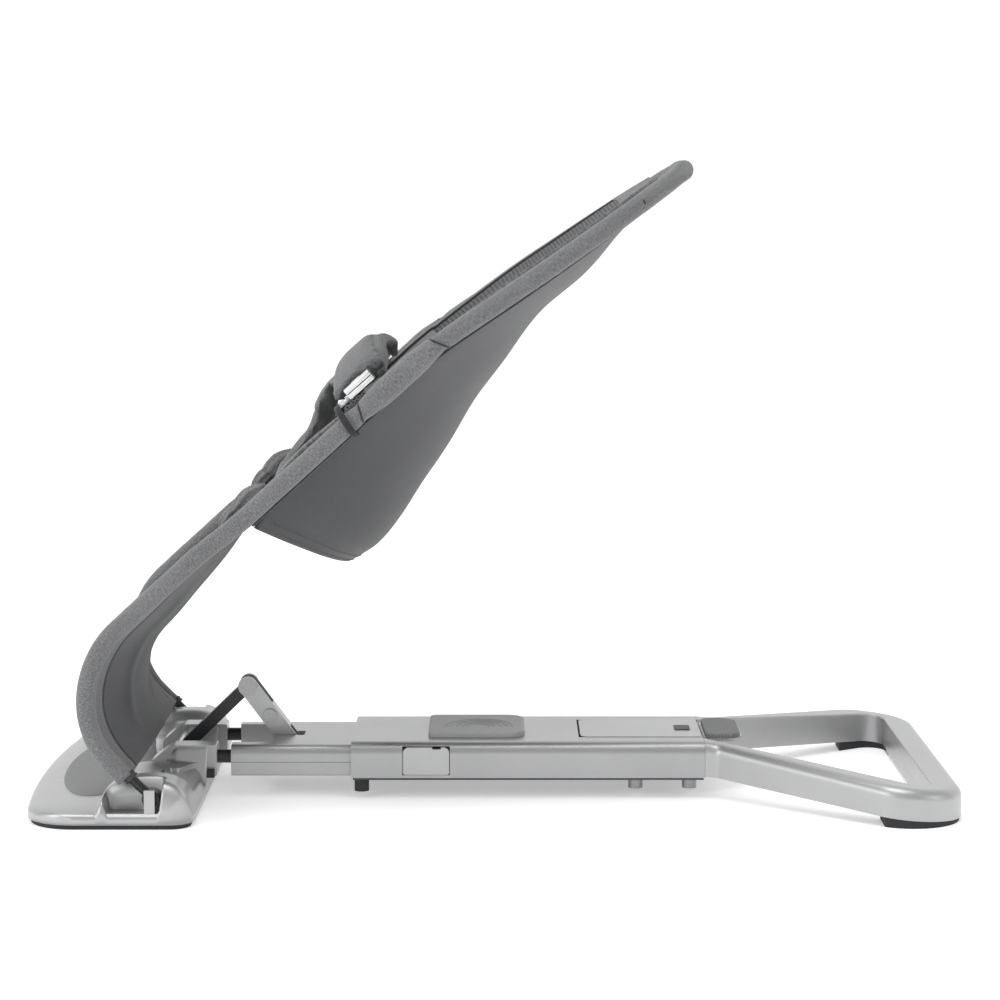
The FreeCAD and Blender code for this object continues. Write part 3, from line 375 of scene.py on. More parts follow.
def tube(name, line, radius, sides, material, slot, body="seat", up=V((0, 0, 1)), flat=1.0, capped=True):
    """Swept tube; radius is a number or a function of the distance along it and the angle round it."""
    size = radius if callable(radius) else (lambda distance, angle: radius)
    vertices, faces, weave = [], [], []
    distance = 0.0
    marks = []
    normal = None
    for i, (point, along) in enumerate(zip(line, directions(line))):
        distance += (point - line[i - 1]).length if i else 0.0
        marks.append(distance)
        normal = up if normal is None else normal
        normal = (normal - along * normal.dot(along)).normalized()
        other = along.cross(normal)
        for k in range(sides):
            angle = 2 * math.pi * k / sides
            reach = size(distance, angle)
            vertices.append(point + (normal * math.cos(angle) * flat + other * math.sin(angle)) * reach)
    girth = 2 * math.pi * size(distance / 2, 0)
    for i in range(len(line) - 1):
        for k in range(sides):
            after = (k + 1) % sides
            faces.append((i * sides + k, (i + 1) * sides + k, (i + 1) * sides + after, i * sides + after))
            low, high = girth * k / sides, girth * (k + 1) / sides
            weave += [(marks[i], low), (marks[i + 1], low), (marks[i + 1], high), (marks[i], high)]
    if capped:
        last = (len(line) - 1) * sides
        ends = ((list(range(sides)), line[0]), ([last + k for k in reversed(range(sides))], line[-1]))
        for ring, point in ends:
            vertices.append(point)
            for k in range(sides):
                faces.append((ring[k], ring[(k + 1) % sides], len(vertices) - 1))
                weave += [(0, 0), (0.001, 0), (0, 0.001)]
    return piece(name, vertices, faces, [material], body, weave=weave)


def closed_grid(name, top, bottom, materials, body="seat", zone=None):
    """Closed skin over two grids of points of one size; zone gives a cell's materials above and below."""
    rows, columns = len(top), len(top[0])
    vertices = [p for row in top for p in row] + [p for row in bottom for p in row]
    offset = rows * columns
    across = [0.0]
    for j in range(1, columns):
        across.append(across[-1] + (top[rows // 2][j] - top[rows // 2][j - 1]).length)
    along = [0.0]
    for i in range(1, rows):
        along.append(along[-1] + (top[i][columns // 2] - top[i - 1][columns // 2]).length)
    faces, weave, index = [], [], []

    def corner(i, j):
        return (across[j], along[i])

    for i in range(rows - 1):
        for j in range(columns - 1):
            a = i * columns + j
            b, c, d = a + 1, a + columns + 1, a + columns
            upper, lower = zone(i, j) if zone else (0, 0)
            faces.append((a, b, c, d))
            weave += [corner(i, j), corner(i, j + 1), corner(i + 1, j + 1), corner(i + 1, j)]
            faces.append((offset + d, offset + c, offset + b, offset + a))
            weave += [corner(i + 1, j), corner(i + 1, j + 1), corner(i, j + 1), corner(i, j)]
            index += [upper, lower]
    border = [(0, j) for j in range(columns)] + [(i, columns - 1) for i in range(1, rows)]
    border += [(rows - 1, j) for j in range(columns - 2, -1, -1)] + [(i, 0) for i in range(rows - 2, 0, -1)]
    for (i, j), (m, n) in zip(border, border[1:] + border[:1]):
        a, b = i * columns + j, m * columns + n
        faces.append((b, a, offset + a, offset + b))
        weave += [corner(m, n), corner(i, j), corner(i, j), corner(m, n)]
        index.append(index[0])
    return piece(name, vertices, faces, materials, body, index, weave)


def thickened(grid, thick, sign):
    """Two grids either side of one, apart by thick(i, j), along its own normals."""
    rows, columns = len(grid), len(grid[0])
    top, bottom = [], []
    for i in range(rows):
        upper, lower = [], []
        for j in range(columns):
            along = grid[min(i + 1, rows - 1)][j] - grid[max(i - 1, 0)][j]
            across = grid[i][min(j + 1, columns - 1)] - grid[i][max(j - 1, 0)]
            normal = across.cross(along).normalized() * sign
            half = thick(i, j) / 2
            upper.append(grid[i][j] + normal * half)
            lower.append(grid[i][j] - normal * half)
        top.append(upper)
        bottom.append(lower)
    return top, bottom


def stitches(name, line, body="seat", pitch=0.0034, length=0.0023, radius=0.00042):
    """A row of short thread stitches along a line."""
    vertices, faces = [], []
    points = resampled(line, pitch)
    for point, along in zip(points[1:-1], directions(points)[1:-1]):
        side = along.orthogonal().normalized()
        other = along.cross(side)
        first = len(vertices)
        for share, size in ((-0.5, 0.25), (-0.3, 1.0), (0.3, 1.0), (0.5, 0.25)):
            for k in range(6):
                angle = math.pi * k / 3
                spread = (side * math.cos(angle) + other * math.sin(angle)) * radius * size
                vertices.append(point + along * length * share + spread)
        for ring in range(3):
            for k in range(6):
                a, b = first + ring * 6 + k, first + ring * 6 + (k + 1) % 6
                faces.append((a, b, b + 6, a + 6))
        faces.append(tuple(first + k for k in reversed(range(6))))
        faces.append(tuple(first + 18 + k for k in range(6)))
    return piece(name, vertices, faces, [STITCH], body)


def outward(obj):
    """Make all faces of a closed mesh point outward."""
    work = bmesh.new()
    work.from_mesh(obj.data)
    bmesh.ops.recalc_face_normals(work, faces=work.faces)
    work.to_mesh(obj.data)
    work.free()
    return obj


def settled(obj):
    """Replace an object's mesh by its evaluated one and drop the modifiers."""
    evaluated = obj.evaluated_get(bpy.context.evaluated_depsgraph_get())
    mesh = bpy.data.meshes.new_from_object(evaluated)
    obj.modifiers.clear()
    obj.data = mesh
    return obj


def puffed(obj, voxel, cap, pressure=4.0):
    """Swell a closed form with cloth pressure, each point by at most the cap."""
    remesh = obj.modifiers.new("remesh", "REMESH")
    remesh.mode = "VOXEL"
    remesh.voxel_size = voxel
    settled(obj)
    rest = [v.co.copy() for v in obj.data.vertices]
    cloth = obj.modifiers.new("cloth", "CLOTH")
    cloth.settings.use_pressure = True
    cloth.settings.uniform_pressure_force = pressure
    cloth.settings.effector_weights.gravity = 0
    for step in range(1, 21):
        bpy.context.scene.frame_set(step)
    settled(obj)
    bpy.context.scene.frame_set(1)
    for vertex, start in zip(obj.data.vertices, rest):
        move = vertex.co - start
        if move.length > cap:
            vertex.co = start + move * (cap / move.length)
    swell = obj.modifiers.new("smooth", "SUBSURF")
    swell.levels = swell.render_levels = 1
    settled(obj)
    obj.data.polygons.foreach_set("use_smooth", [True] * len(obj.data.polygons))
    return obj


# ---------------------------------------------------------------- lines of the seat

AXLE = (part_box("seat_axle")[0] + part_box("seat_axle")[1]) / 2
HOOP_Y = 0.172
RIM = 0.0115
# how much the padding is drawn in from the full size of the rim
RIM_SLIM = 0.0033
# half thickness of the head pocket at its sides
POCKET = 0.0091
KNEE, HEAD = V((-0.0475, 0, 0.407)), V((0.1706, 0, 0.5546))
TOE_LOW, TOE_HIGH = V((-0.3385, 0, 0.076)), V((-0.3385, 0, 0.143))
SLOPE = (HEAD - KNEE).normalized()
BELOW = V((SLOPE.z, 0, -SLOPE.x))
HEAD_SPAN = 0.1868
HEAD_CENTRE = HEAD - SLOPE * HEAD_SPAN
LINE_STEP = 0.004


def side_line(sign):
    """Centre line of one side of the hoop, from near the axle up to the head."""
    shift = V((0, sign * HOOP_Y, 0))
    start = AXLE + (TOE_LOW - AXLE).normalized() * 0.027
    points = [p + shift for p in (start, TOE_LOW, TOE_HIGH, KNEE, HEAD_CENTRE)]
    return rounded(points, [0, 0.070, 0.085, 0.300, 0], LINE_STEP)


def head_line():
    """Half ellipse round the head."""
    line = []
    for k in range(241):
        angle = -math.pi / 2 + math.pi * k / 240
        aside = V((0, math.sin(angle) * HOOP_Y, 0))
        line.append(HEAD_CENTRE + SLOPE * math.cos(angle) * HEAD_SPAN + aside)
    return resampled(line, LINE_STEP)


# rim and lowest point on the centre line at each station, from the front hem up to the knee
STATIONS = [((-0.198, 0.254), (-0.127, 0.206)), ((-0.180, 0.284), (-0.103, 0.220)),
            ((-0.157, 0.311), (-0.080, 0.247)), ((-0.129, 0.335), (-0.060, 0.279)),
            ((-0.099, 0.359), (-0.037, 0.314)), ((-0.067, 0.387), (-0.014, 0.352)),
            ((-0.027, 0.418), (0.012, 0.386))]
# distance up the head and the depth of the cloth there
HEAD_STATIONS = [(0.010, 0.033), (0.060, 0.027), (0.105, 0.015), (0.140, 0.008), (0.165, 0.004)]


def station_table(margin):
    table = [(r[0], r[1], d[0], d[1], HOOP_Y - margin) for r, d in STATIONS]
    for distance, depth in HEAD_STATIONS:
        rim = HEAD_CENTRE + SLOPE * distance
        deep = rim + BELOW * depth
        reach = (HOOP_Y - margin) * math.sqrt(1 - (distance / (HEAD_SPAN - margin - 0.001)) ** 2)
        table.append((rim.x, rim.z, deep.x, deep.z, reach))
    return table


def eased(table, place):
    """Smooth value of each column at a fractional row."""
    last = len(table) - 1
    i = min(int(place), last - 1)
    s = place - i
    values = []
    for column in range(len(table[0])):
        p0, p1, p2, p3 = (table[min(max(k, 0), last)][column] for k in (i - 1, i, i + 1, i + 2))
        values.append(0.5 * (2 * p1 + (p2 - p0) * s + (2 * p0 - 5 * p1 + 4 * p2 - p3) * s * s
                             + (3 * p1 - p0 - 3 * p2 + p3) * s ** 3))
    return values


def seat_grid(margin, rows, columns, lift, low=0.0, high=11.0, ripple=0.0):
    """Grid of points over the hanging seat between two stations."""
    table = station_table(margin)
    grid = []
    for i in range(rows):
        place = low + (high - low) * i / (rows - 1)
        rim_x, rim_z, deep_x, deep_z, reach = eased(table, place)
        row = []
        for j in range(columns):
            t = -1 + 2 * j / (columns - 1)
            sag = 1 - abs(t) ** 1.6
            x, z = rim_x + (deep_x - rim_x) * sag, rim_z + (deep_z - rim_z) * sag
            point = V((x, reach * t, z)) - BELOW * lift
            if ripple:
                wave = noise.noise(V((point.x * 18, abs(point.y) * 14, point.z * 18)))
                point += BELOW * (wave * ripple * min(sag * 3, 1))
            row.append(point)
        grid.append(row)
    return grid


# ---------------------------------------------------------------- sling, liner and leg panel

def make_sling():
    rows, columns = 120, 81
    grid = seat_grid(0.0075, rows, columns, 0.0, ripple=0.0012)
    hem = 0.0
    for i in range(1, rows):
        hem += (grid[i][40] - grid[i - 1][40]).length
        if hem > 0.013:
            break
    hem_rows = i
    top, bottom = thickened(grid, lambda i, j: 0.0032 if i < hem_rows else 0.0018, -1)
    sling = outward(closed_grid("sling_cloth", top, bottom, [FINISHES["sling_fabric"]]))
    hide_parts("sling")
    for number, share in (("a", 0.0035), ("b", 0.0105)):
        line = []
        for j in range(2, columns - 2):
            along = (grid[1][j] - grid[0][j]).normalized()
            across = grid[0][min(j + 1, columns - 1)] - grid[0][j - 1]
            normal = across.cross(along).normalized()
            line.append(grid[0][j] + along * share + normal * 0.0019)
        stitches(f"sling_hem_stitch_{number}", line)


def liner_zone(place, t):
    """Which cloth the liner shows: 0 mesh, 1 heather."""
    if abs(t) > 0.96 or place < 0.55 or place > 9.6:
        return 1
    return 1 if 3.3 < place < 5.4 else 0


def make_liner():
    rows, columns = 133, 73
    grid = seat_grid(0.012, rows, columns, 0.0075, low=0.15, high=10.8, ripple=0.0008)
    places = [0.15 + (10.8 - 0.15) * i / (rows - 1) for i in range(rows)]
    widths = [-1 + 2 * j / (columns - 1) for j in range(columns)]

    def zone(i, j):
        place = (places[i] + places[min(i + 1, rows - 1)]) / 2
        return liner_zone(place, (widths[j] + widths[min(j + 1, columns - 1)]) / 2), 2

    def thick(i, j):
        here = liner_zone(places[i] - 0.04, widths[j] - 0.015)
        there = liner_zone(places[i] + 0.04, widths[j] + 0.015)
        seam = 0.0018 if here != there else 0.0
        return 0.0042 - seam + (0.0012 if here == 1 and there == 1 else 0)

    top, bottom = thickened(grid, thick, -1)
    materials = [FINISHES["mesh_fabric"], FINISHES["heather_fabric"], FINISHES["sling_fabric"]]
    liner = outward(closed_grid("seat_liner_cloth", top, bottom, materials, zone=zone))
    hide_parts("seat_liner")
    for number, edge in (("left", -0.96), ("right", 0.96)):
        j = min(range(columns), key=lambda k: abs(widths[k] - edge))
        line = [top[i][j] + V((0, 0, 0.0004)) for i in range(6, rows - 16)]
        tube(f"liner_piping_{number}", resampled(line, 0.004), 0.0016, 8, SEAM, "heather_fabric")


def leg_line():
    start = AXLE + (TOE_LOW - AXLE).normalized() * 0.026
    knee = (KNEE - TOE_HIGH).normalized()
    return rounded([start, TOE_LOW, TOE_HIGH, TOE_HIGH + knee * 0.178], [0, 0.070, 0.085, 0], 0.0025)


def make_leg_panel():
    line = leg_line()
    last = len(line) - 1
    half = 0.1665
    # finer columns beside the two seams that join the side bands to the middle
    widths = [half, 0.158, 0.150, 0.1435, 0.1415, 0.1405, 0.1395, 0.1385, 0.1365]
    widths += [0.13 * (1 - k / 30) for k in range(0, 31)]
    widths = [-w for w in widths] + [w for w in reversed(widths[:-1])]
    grid = []
    for i, (point, along) in enumerate(zip(line, directions(line))):
        share = i / last
        slack = 0.005 + 0.023 * math.sin(math.pi * share ** 0.8)
        inside = V((along.z, 0, -along.x))
        row = []
        for y in widths:
            sag = 1 - abs(y / half) ** 1.6
            crease = 0.0022 * math.exp(-((abs(y) - 0.062 - 0.03 * share) / 0.012) ** 2)
            crease = crease * smooth(0.0, 0.2, share) * smooth(0.9, 0.5, share)
            wave = 0.0012 * noise.noise(V((share * 7, abs(y) * 16, 3.1)))
            row.append(point + V((0, y, 0)) + inside * ((slack * sag) + crease + wave * min(sag * 3, 1)))
        grid.append(row)
    hem_rows = 4

    def thick(i, j):
        seam = abs(abs(widths[j]) - 0.1405) < 0.0012
        band = abs(widths[j]) > 0.1405
        return 0.0022 + (0.0012 if i < hem_rows else 0) + (0.0008 if band else 0) - (0.0014 if seam else 0)

    def zone(i, j):
        band = abs((widths[j] + widths[j + 1]) / 2) > 0.1405
        return (0, 0) if band else (2, 1)

    top, bottom = thickened(grid, thick, 1)
    # the panel's back uses a darker copy of the sling's knit as painted shade
    # the side bands use a darker heather copy as painted shade
    materials = [HEATHER_BAND_PAINTED_SHADE, HEATHER_PALE, LEG_BACK_PAINTED_SHADE]
    panel = closed_grid("leg_panel_cloth", top, bottom, materials, zone=zone)
    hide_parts("leg_panel")
    for side, sign in SIDES:
        j = min(range(len(widths)), key=lambda k: abs(widths[k] - sign * 0.1435))
        stitches(f"leg_band_stitch_{side}", [bottom[i][j] for i in range(3, last)])
        stitches(f"leg_band_stitch_top_{side}", [top[i][j] for i in range(3, last)])
    stitches("leg_hem_stitch", [bottom[3][j] for j in range(2, len(widths) - 2)])


# ---------------------------------------------------------------- padded rim

def make_rims():
    """Padded sleeves over the hoop, gathered at two slanted seams, with piping below them."""
    seam_x = (-0.108, -0.042)
    for side, sign in SIDES:
        quarter = sorted([p for p in head_line() if p.y * sign > 0.0005], key=lambda p: -abs(p.y))
        line = resampled(side_line(sign) + quarter + [HEAD_CENTRE + SLOPE * HEAD_SPAN], LINE_STEP)
        drop = [RIM_SLIM * smooth(0.265, 0.225, p.z) for p in line]
        line = [p - V((way.z, 0, -way.x)) * less for p, way, less in zip(line, directions(line), drop)]
        lengths = [0.0]
        for a, b in zip(line, line[1:]):
            lengths.append(lengths[-1] + (b - a).length)

        def distance_at(x):
            return next(d for d, p in zip(lengths, line) if p.z > 0.2 and p.x > x)

        seams = [distance_at(x) for x in seam_x]

        def radius(distance, angle, seams=seams):
            wing = smooth(seams[0], seams[0] + 0.03, distance) * smooth(seams[1], seams[1] - 0.03, distance)
            pinch = sum(math.exp(-((distance - s) / 0.004) ** 2) for s in seams)
            soft = noise.noise(V((distance * 30, math.cos(angle) * 0.8, math.sin(angle) * 0.8)))
            fold = noise.noise(V((distance * 140, math.cos(angle) * 1.2, math.sin(angle) * 1.2)))
            return RIM - RIM_SLIM + 0.0024 * wing - 0.0009 * pinch + 0.0003 * soft + 0.00022 * fold

        cover = tube(f"rim_cover_{side}", line, radius, 28, FINISHES["heather_fabric"], "heather_fabric")
        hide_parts(f"rim_pad_{side}")
        ways = directions(line)
        for number, (seam, lean) in enumerate(zip(seams, (0.45, -0.55))):
            ring = []
            for k in range(41):
                angle = 2 * math.pi * k / 40
                shift = seam + lean * (RIM - RIM_SLIM) * math.cos(angle)
                i = min(range(len(line)), key=lambda m: abs(lengths[m] - shift))
                along = ways[i]
                normal = (V((0, 0, 1)) - along * along.z).normalized()
                other = along.cross(normal)
                centre = line[i] + along * (shift - lengths[i])
                spoke = normal * math.cos(angle) + other * math.sin(angle)
                ring.append(centre + spoke * (RIM - RIM_SLIM - 0.0004))
            tube(f"rim_seam_{side}_{number}", ring, 0.0009, 6, SEAM, "heather_fabric", capped=False)
        start = next(i for i, p in enumerate(line) if p.z > 0.262)
        under = []
        for point, along in zip(line[start:], ways[start:]):
            normal = (V((0, 0, 1)) - along * along.z).normalized()
            under.append(point - normal * 0.0080 + along.cross(normal) * sign * 0.0025)
        tube(f"rim_piping_{side}", under, 0.0022, 10, SEAM, "sling_fabric")


def make_head_pocket():
    """Cap of cloth drawn over the top of the hoop."""
    rows, around = 46, 72
    first, last = 0.138, HEAD_SPAN + 0.0088
    vertices, faces, weave = [], [], []
    for i in range(rows):
        share = i / (rows - 1)
        distance = first + (last - first) * math.sin(share * math.pi / 2)
        reach = (HOOP_Y + 0.0092) * math.sqrt(max(1 - (distance / (HEAD_SPAN + 0.0092)) ** 2, 0.0004))
        centre = HEAD_CENTRE + SLOPE * distance
        lip = 0.0006 * smooth(0.12, 0.0, share)
        for k in range(around):
            angle = 2 * math.pi * k / around
            c, s = math.cos(angle), math.sin(angle)
            y = reach * math.copysign(abs(c) ** 0.62, c)
            edge = abs(y) / reach
            full = POCKET * math.sqrt(max(1 - smooth(0.93, 1.0, edge), 0.0)) if reach > 0.03 else POCKET
            middle = 0.55 + 0.45 * smooth(reach - 0.05, reach - 0.018, abs(y))
            tip = math.sqrt(max(1 - (max(distance - HEAD_SPAN + 0.002, 0) / 0.0110) ** 2, 0.02))
            height = (full * middle * tip + lip) * math.copysign(abs(s) ** 0.55, s)
            crease = 0.0006 * noise.noise(V((y * 25, distance * 40, s * 2)))
            vertices.append(centre + V((0, y, 0)) - BELOW * (height + crease))
    for i in range(rows - 1):
        for k in range(around):
            after = (k + 1) % around
            faces.append((i * around + k, i * around + after, (i + 1) * around + after, (i + 1) * around + k))
            low, high = k * 0.009, (k + 1) * 0.009
            near, far = i * 0.0025, (i + 1) * 0.0025
            weave += [(low, near), (high, near), (high, far), (low, far)]
    for row, order in ((0, reversed(range(around))), (rows - 1, range(around))):
        faces.append(tuple(row * around + k for k in order))
        weave += [(0.001 * k, 0.0) for k in range(around)]
    cloth = FINISHES["heather_fabric"]
    pocket = outward(piece("head_pocket", vertices, faces, [cloth], weave=weave))
    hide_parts("head_roll")
    ring = [vertices[k] for k in range(around)] + [vertices[0]]
    tube("head_pocket_binding", resampled(ring, 0.003), 0.0007, 8, SEAM, "heather_fabric", capped=False)


def make_corner_tabs():
    """Gathered tabs that hold the seat's front corners to the rim."""
    tabs = (((-0.2170, 0.158, 0.2660), (-0.1890, 0.156, 0.2880), 0.0075),
            ((-0.2270, 0.160, 0.2540), (-0.2060, 0.158, 0.2720), 0.0062))
    for side, sign in SIDES:
        for number, (start, end, wide) in enumerate(tabs):
            a, b = V((start[0], sign * start[1], start[2])), V((end[0], sign * end[1], end[2]))
            line = resampled([a, a.lerp(b, 0.5) + V((0, -sign * 0.004, 0.003)), b], 0.0022)
            total = (b - a).length

            def radius(distance, angle, wide=wide, total=total):
                share = min(max(distance / total, 0.0), 1.0)
                gather = 0.0009 * math.cos(6 * angle + 3 * share)
                return wide * max(math.sin(math.pi * (0.08 + 0.84 * share)) ** 0.55, 0.2) + gather

            cloth = FINISHES["heather_fabric"]
            tab = tube(f"corner_tab_{side}_{number}", line, radius, 30, cloth, "heather_fabric")


# ---------------------------------------------------------------- harness

HARNESS = Matrix.Translation(V((-0.0975, 0, 0.362))) @ Matrix.Rotation(math.radians(-42), 4, "Y")


def chest_profile(share):
    """Half thickness of the chest pad from its lower edge to the rolled upper edge."""
    return 0.0042 + 0.0028 * smooth(0.62, 0.85, share)


def make_chest_pad():
    rows, columns = 20, 49
    top, bottom = [], []
    for i in range(rows):
        share = i / (rows - 1)
        u = -0.027 + 0.055 * share
        upper, lower = [], []
        for j in range(columns):
            t = -1 + 2 * j / (columns - 1)
            y = 0.144 * t
            w = 0.015 + 0.0152 * (1 - t * t) + 0.0035 * math.sin(math.pi * share)
            half = chest_profile(share) * (1 - 0.35 * abs(t) ** 6)
            upper.append(HARNESS @ V((u, y, w + half)))
            lower.append(HARNESS @ V((u, y, w - half)))
        top.append(upper)
        bottom.append(lower)
    pad = closed_grid("chest_pad", top, bottom, [HEATHER_DARK], "harness")
    outward(pad)
    puffed(pad, 0.004, 0.006)
    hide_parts("harness_panel")
    roll = []
    for j in range(61):
        t = -1 + 2 * j / 60
        rise = 0.0155 + 0.0150 * (1 - t * t) - 0.0040 * t ** 8
        roll.append(HARNESS @ V((0.0245 - 0.0060 * t ** 8, 0.142 * t, rise)))
    roll = resampled(roll, 0.003)
    total = sum((b - a).length for a, b in zip(roll, roll[1:]))

    def roll_radius(distance, angle):
        share = min(max(distance / total, 0.0), 1.0)
        taper = 0.35 + 0.65 * min(math.sin(math.pi * (0.03 + 0.94 * share)) * 2.2, 1.0)
        near_end = math.exp(-((abs(share - 0.5) - 0.40) / 0.07) ** 2)
        fold = 0.0006 * math.cos(3 * angle + distance * 60) * near_end
        uneven = 0.0004 * noise.noise(V((distance * 45, math.cos(angle), math.sin(angle))))
        return 0.0072 * taper + fold + uneven

    edge = tube("chest_roll", roll, roll_radius, 22, HEATHER_DARK, "heather_fabric", "harness")
    course = ((-0.134, -0.0072), (-0.062, 0.0050), (-0.038, 0.0235), (-0.023, 0.0310))
    path = [V((u, 0, w)) for u, w in course]
    line = rounded(path, [0, 0.030, 0.020, 0], 0.003)
    columns = 33
    top, bottom = [], []
    for i, (point, along) in enumerate(zip(line, directions(line))):
        share = i / (len(line) - 1)
        normal = V((-along.z, 0, along.x))
        upper, lower = [], []
        for j in range(columns):
            t = -1 + 2 * j / (columns - 1)
            aside = V((0, (0.036 + 0.012 * smooth(0.75, 1.0, share)) * t, 0))
            half = 0.0030 * math.sqrt(max(1 - t ** 4, 0.03))
            quilt = 0.0012 * abs(math.sin(math.pi * share * 4)) ** 0.5
            curl = 0.0020 + 0.0065 * t * t
            upper.append(HARNESS @ (point + aside + normal * (curl + half + quilt)))
            lower.append(HARNESS @ (point + aside + normal * (curl - half)))
        top.append(upper)
        bottom.append(lower)
    stem = closed_grid("crotch_strap_pad", top, bottom, [HEATHER_LOOSE], "harness")
    puffed(outward(stem), 0.004, 0.005)


def rounded_block(name, low, high, radius, segments, material, body, shape=None):
    """Bevelled block in the harness's frame, with an optional change of shape."""
    work = bmesh.new()
    bmesh.ops.create_cube(work, size=1)
    centre, size = (V(low) + V(high)) / 2, V(high) - V(low)
    for vertex in work.verts:
        vertex.co = V((vertex.co.x * size.x, vertex.co.y * size.y, vertex.co.z * size.z))
    bmesh.ops.subdivide_edges(work, edges=work.edges[:], cuts=5, use_grid_fill=True)
    sharp = [e for e in work.edges if e.calc_face_angle(0) > 1]
    bmesh.ops.bevel(work, geom=sharp, offset=radius, segments=segments, profile=0.5,
                    affect="EDGES", clamp_overlap=True)
    for vertex in work.verts:
        point = shape(vertex.co, size) if shape else vertex.co
        vertex.co = HARNESS @ (centre + point)
    mesh = bpy.data.meshes.new(name)
    work.to_mesh(mesh)
    work.free()
    vertices = [v.co.copy() for v in mesh.vertices]
    faces = [tuple(p.vertices) for p in mesh.polygons]
    return outward(piece(name, vertices, faces, [material], body))


def crowned(point, size):
    """Swell the outer face of a clip and narrow it towards its front end."""
    lengthwise = point.x / size.x + 0.5
    narrow = 0.72 + 0.28 * smooth(0.0, 0.4, lengthwise)
    bulge = 0.0010 * (1 - (2 * point.y / size.y) ** 2) * smooth(0, size.z / 2, point.z)
    return V((point.x, point.y * narrow, point.z + bulge))


def make_clips():
    gloss = FINISHES["clip_plastic"]
    for side, sign in SIDES:
        near, far = sorted((sign * 0.1505, sign * 0.1715))
        rounded_block(f"clip_shell_{side}", (-0.0135, near, 0.0182), (0.0135, far, 0.0222), 0.0016, 4,
                      gloss, "harness", crowned)
        base = rounded_block(f"clip_base_{side}", (-0.0135, near, 0.0132), (0.0135, far, 0.0174), 0.0014, 4,
                             gloss, "harness", crowned)
        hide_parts(f"clip_body_{side}")
        rounded_block(f"clip_core_{side}", (-0.0115, near + 0.002, 0.0165),
                      (0.0115, far - 0.002, 0.0192), 0.0008, 2,
                      FINISHES["dark_plastic"], "harness", crowned)
        low, high = sorted((sign * 0.1565, sign * 0.1655))
        press = rounded_block(f"clip_press_{side}", (-0.0045, low, 0.0219), (0.0045, high, 0.0236), 0.0007, 3,
                              gloss, f"clip_{side}")
        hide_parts(f"clip_button_{side}")
        eye = []
        for k in range(33):
            angle = 2 * math.pi * k / 32
            aside = sign * 0.161 + 0.0058 * math.sin(angle)
            eye.append(HARNESS @ V((-0.0205 + 0.0052 * math.cos(angle), aside, 0.0150)))
        tube(f"clip_eye_{side}", eye, 0.0020, 12, gloss, "clip_plastic", "harness", capped=False)
        neck = [HARNESS @ V((u, sign * 0.161, 0.0152)) for u in (-0.0168, -0.0150, -0.0130, -0.0110)]
        tube(f"clip_neck_{side}", neck, 0.0030, 14, gloss, "clip_plastic", "harness")
        loop = []
        for k in range(33):
            angle = 2 * math.pi * k / 32
            reach = 0.0128 + 0.0042 * max(math.cos(angle), 0) ** 2
            middle = sign * (HOOP_Y - 0.0040 * max(math.cos(angle), 0))
            loop.append(HARNESS @ V((-0.0285 + 0.0020 * math.cos(angle), middle + reach * math.sin(angle),
                                     reach * math.cos(angle))))
        tube(f"strap_tape_{side}", loop, 0.0030, 12, FINISHES["strap_webbing"], "strap_webbing", "seat",
             up=HARNESS.to_3x3() @ V((0, 0, 1)), flat=0.28, capped=False)
    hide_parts("strap_loops")


# ---------------------------------------------------------------- foot body

FOOT_LOW, FOOT_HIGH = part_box("foot_shell")
HUB_X = AXLE.x


def foot_limits(y):
    """Front and rear of the foot's plan at one place across it."""
    side = FOOT_HIGH.y
    reach = abs(y)

    def corner(radius):
        inner = side - radius
        if reach <= inner:
            return 0.0
        return radius - math.sqrt(max(radius ** 2 - (reach - inner) ** 2, 0.0))

    bow = 0.008 * (1 - min(reach / 0.1435, 1.0) ** 2)
    return FOOT_LOW.x + 0.008 - bow + corner(0.044), FOOT_HIGH.x - corner(0.020)


def foot_height(x, y):
    """Top of the foot: low dome, hub humps, ridge over the axle and flares up to the arms."""
    front, rear = foot_limits(y)
    reach = abs(y)
    inset = max(min(x - front, rear - x, (FOOT_HIGH.y - reach)), 0.0)
    edge = math.sqrt(1 - (1 - min(inset / 0.026, 1.0)) ** 2)
    base = 0.0102 + 0.0066 * edge + 0.0008 * smooth(0.02, 0.07, inset)
    pad = math.hypot((x + 0.345) / 0.038, y / 0.134)
    base -= 0.0008 * math.exp(-((pad - 1.015) / 0.012) ** 2)
    back = 0.034 if x > HUB_X else 0.045
    bump = max(1 - abs((x - HUB_X) / back) ** 2.5, 0.0) ** 0.5
    side = math.sqrt(1 - (1 - min((FOOT_HIGH.y - reach) / 0.013, 1.0)) ** 2)
    hub = 0.0430 * smooth(0.112, 0.146, reach)
    ridge = 0.0325 * smooth(0.030, 0.062, reach)
    rise = (hub + ridge + math.sqrt((hub - ridge) ** 2 + 0.006 ** 2)) / 2 - 0.003
    rise += 0.004 * smooth(0.085, 0.062, reach) * smooth(0.034, 0.05, reach)
    height = base + max(rise - base, 0.0) * bump * (0.25 + 0.75 * side) if reach > 0.03 else base
    gap = max(abs(reach - 0.049) - 0.0105, 0.0)
    flare = math.exp(-(gap / 0.0085) ** 1.3)
    flare *= smooth(HUB_X - 0.012, HUB_X + 0.010, x) * smooth(0.030, 0.038, reach)
    height = max(height, base + (0.0462 - base) * flare)
    recess = smooth(0.1605, 0.1635, reach) * smooth(-0.2770, -0.2800, x) * smooth(-0.3290, -0.3230, x)
    floor = 0.0128 + 0.0015 * (1 - side)
    return height + (min(height, floor) - height) * recess


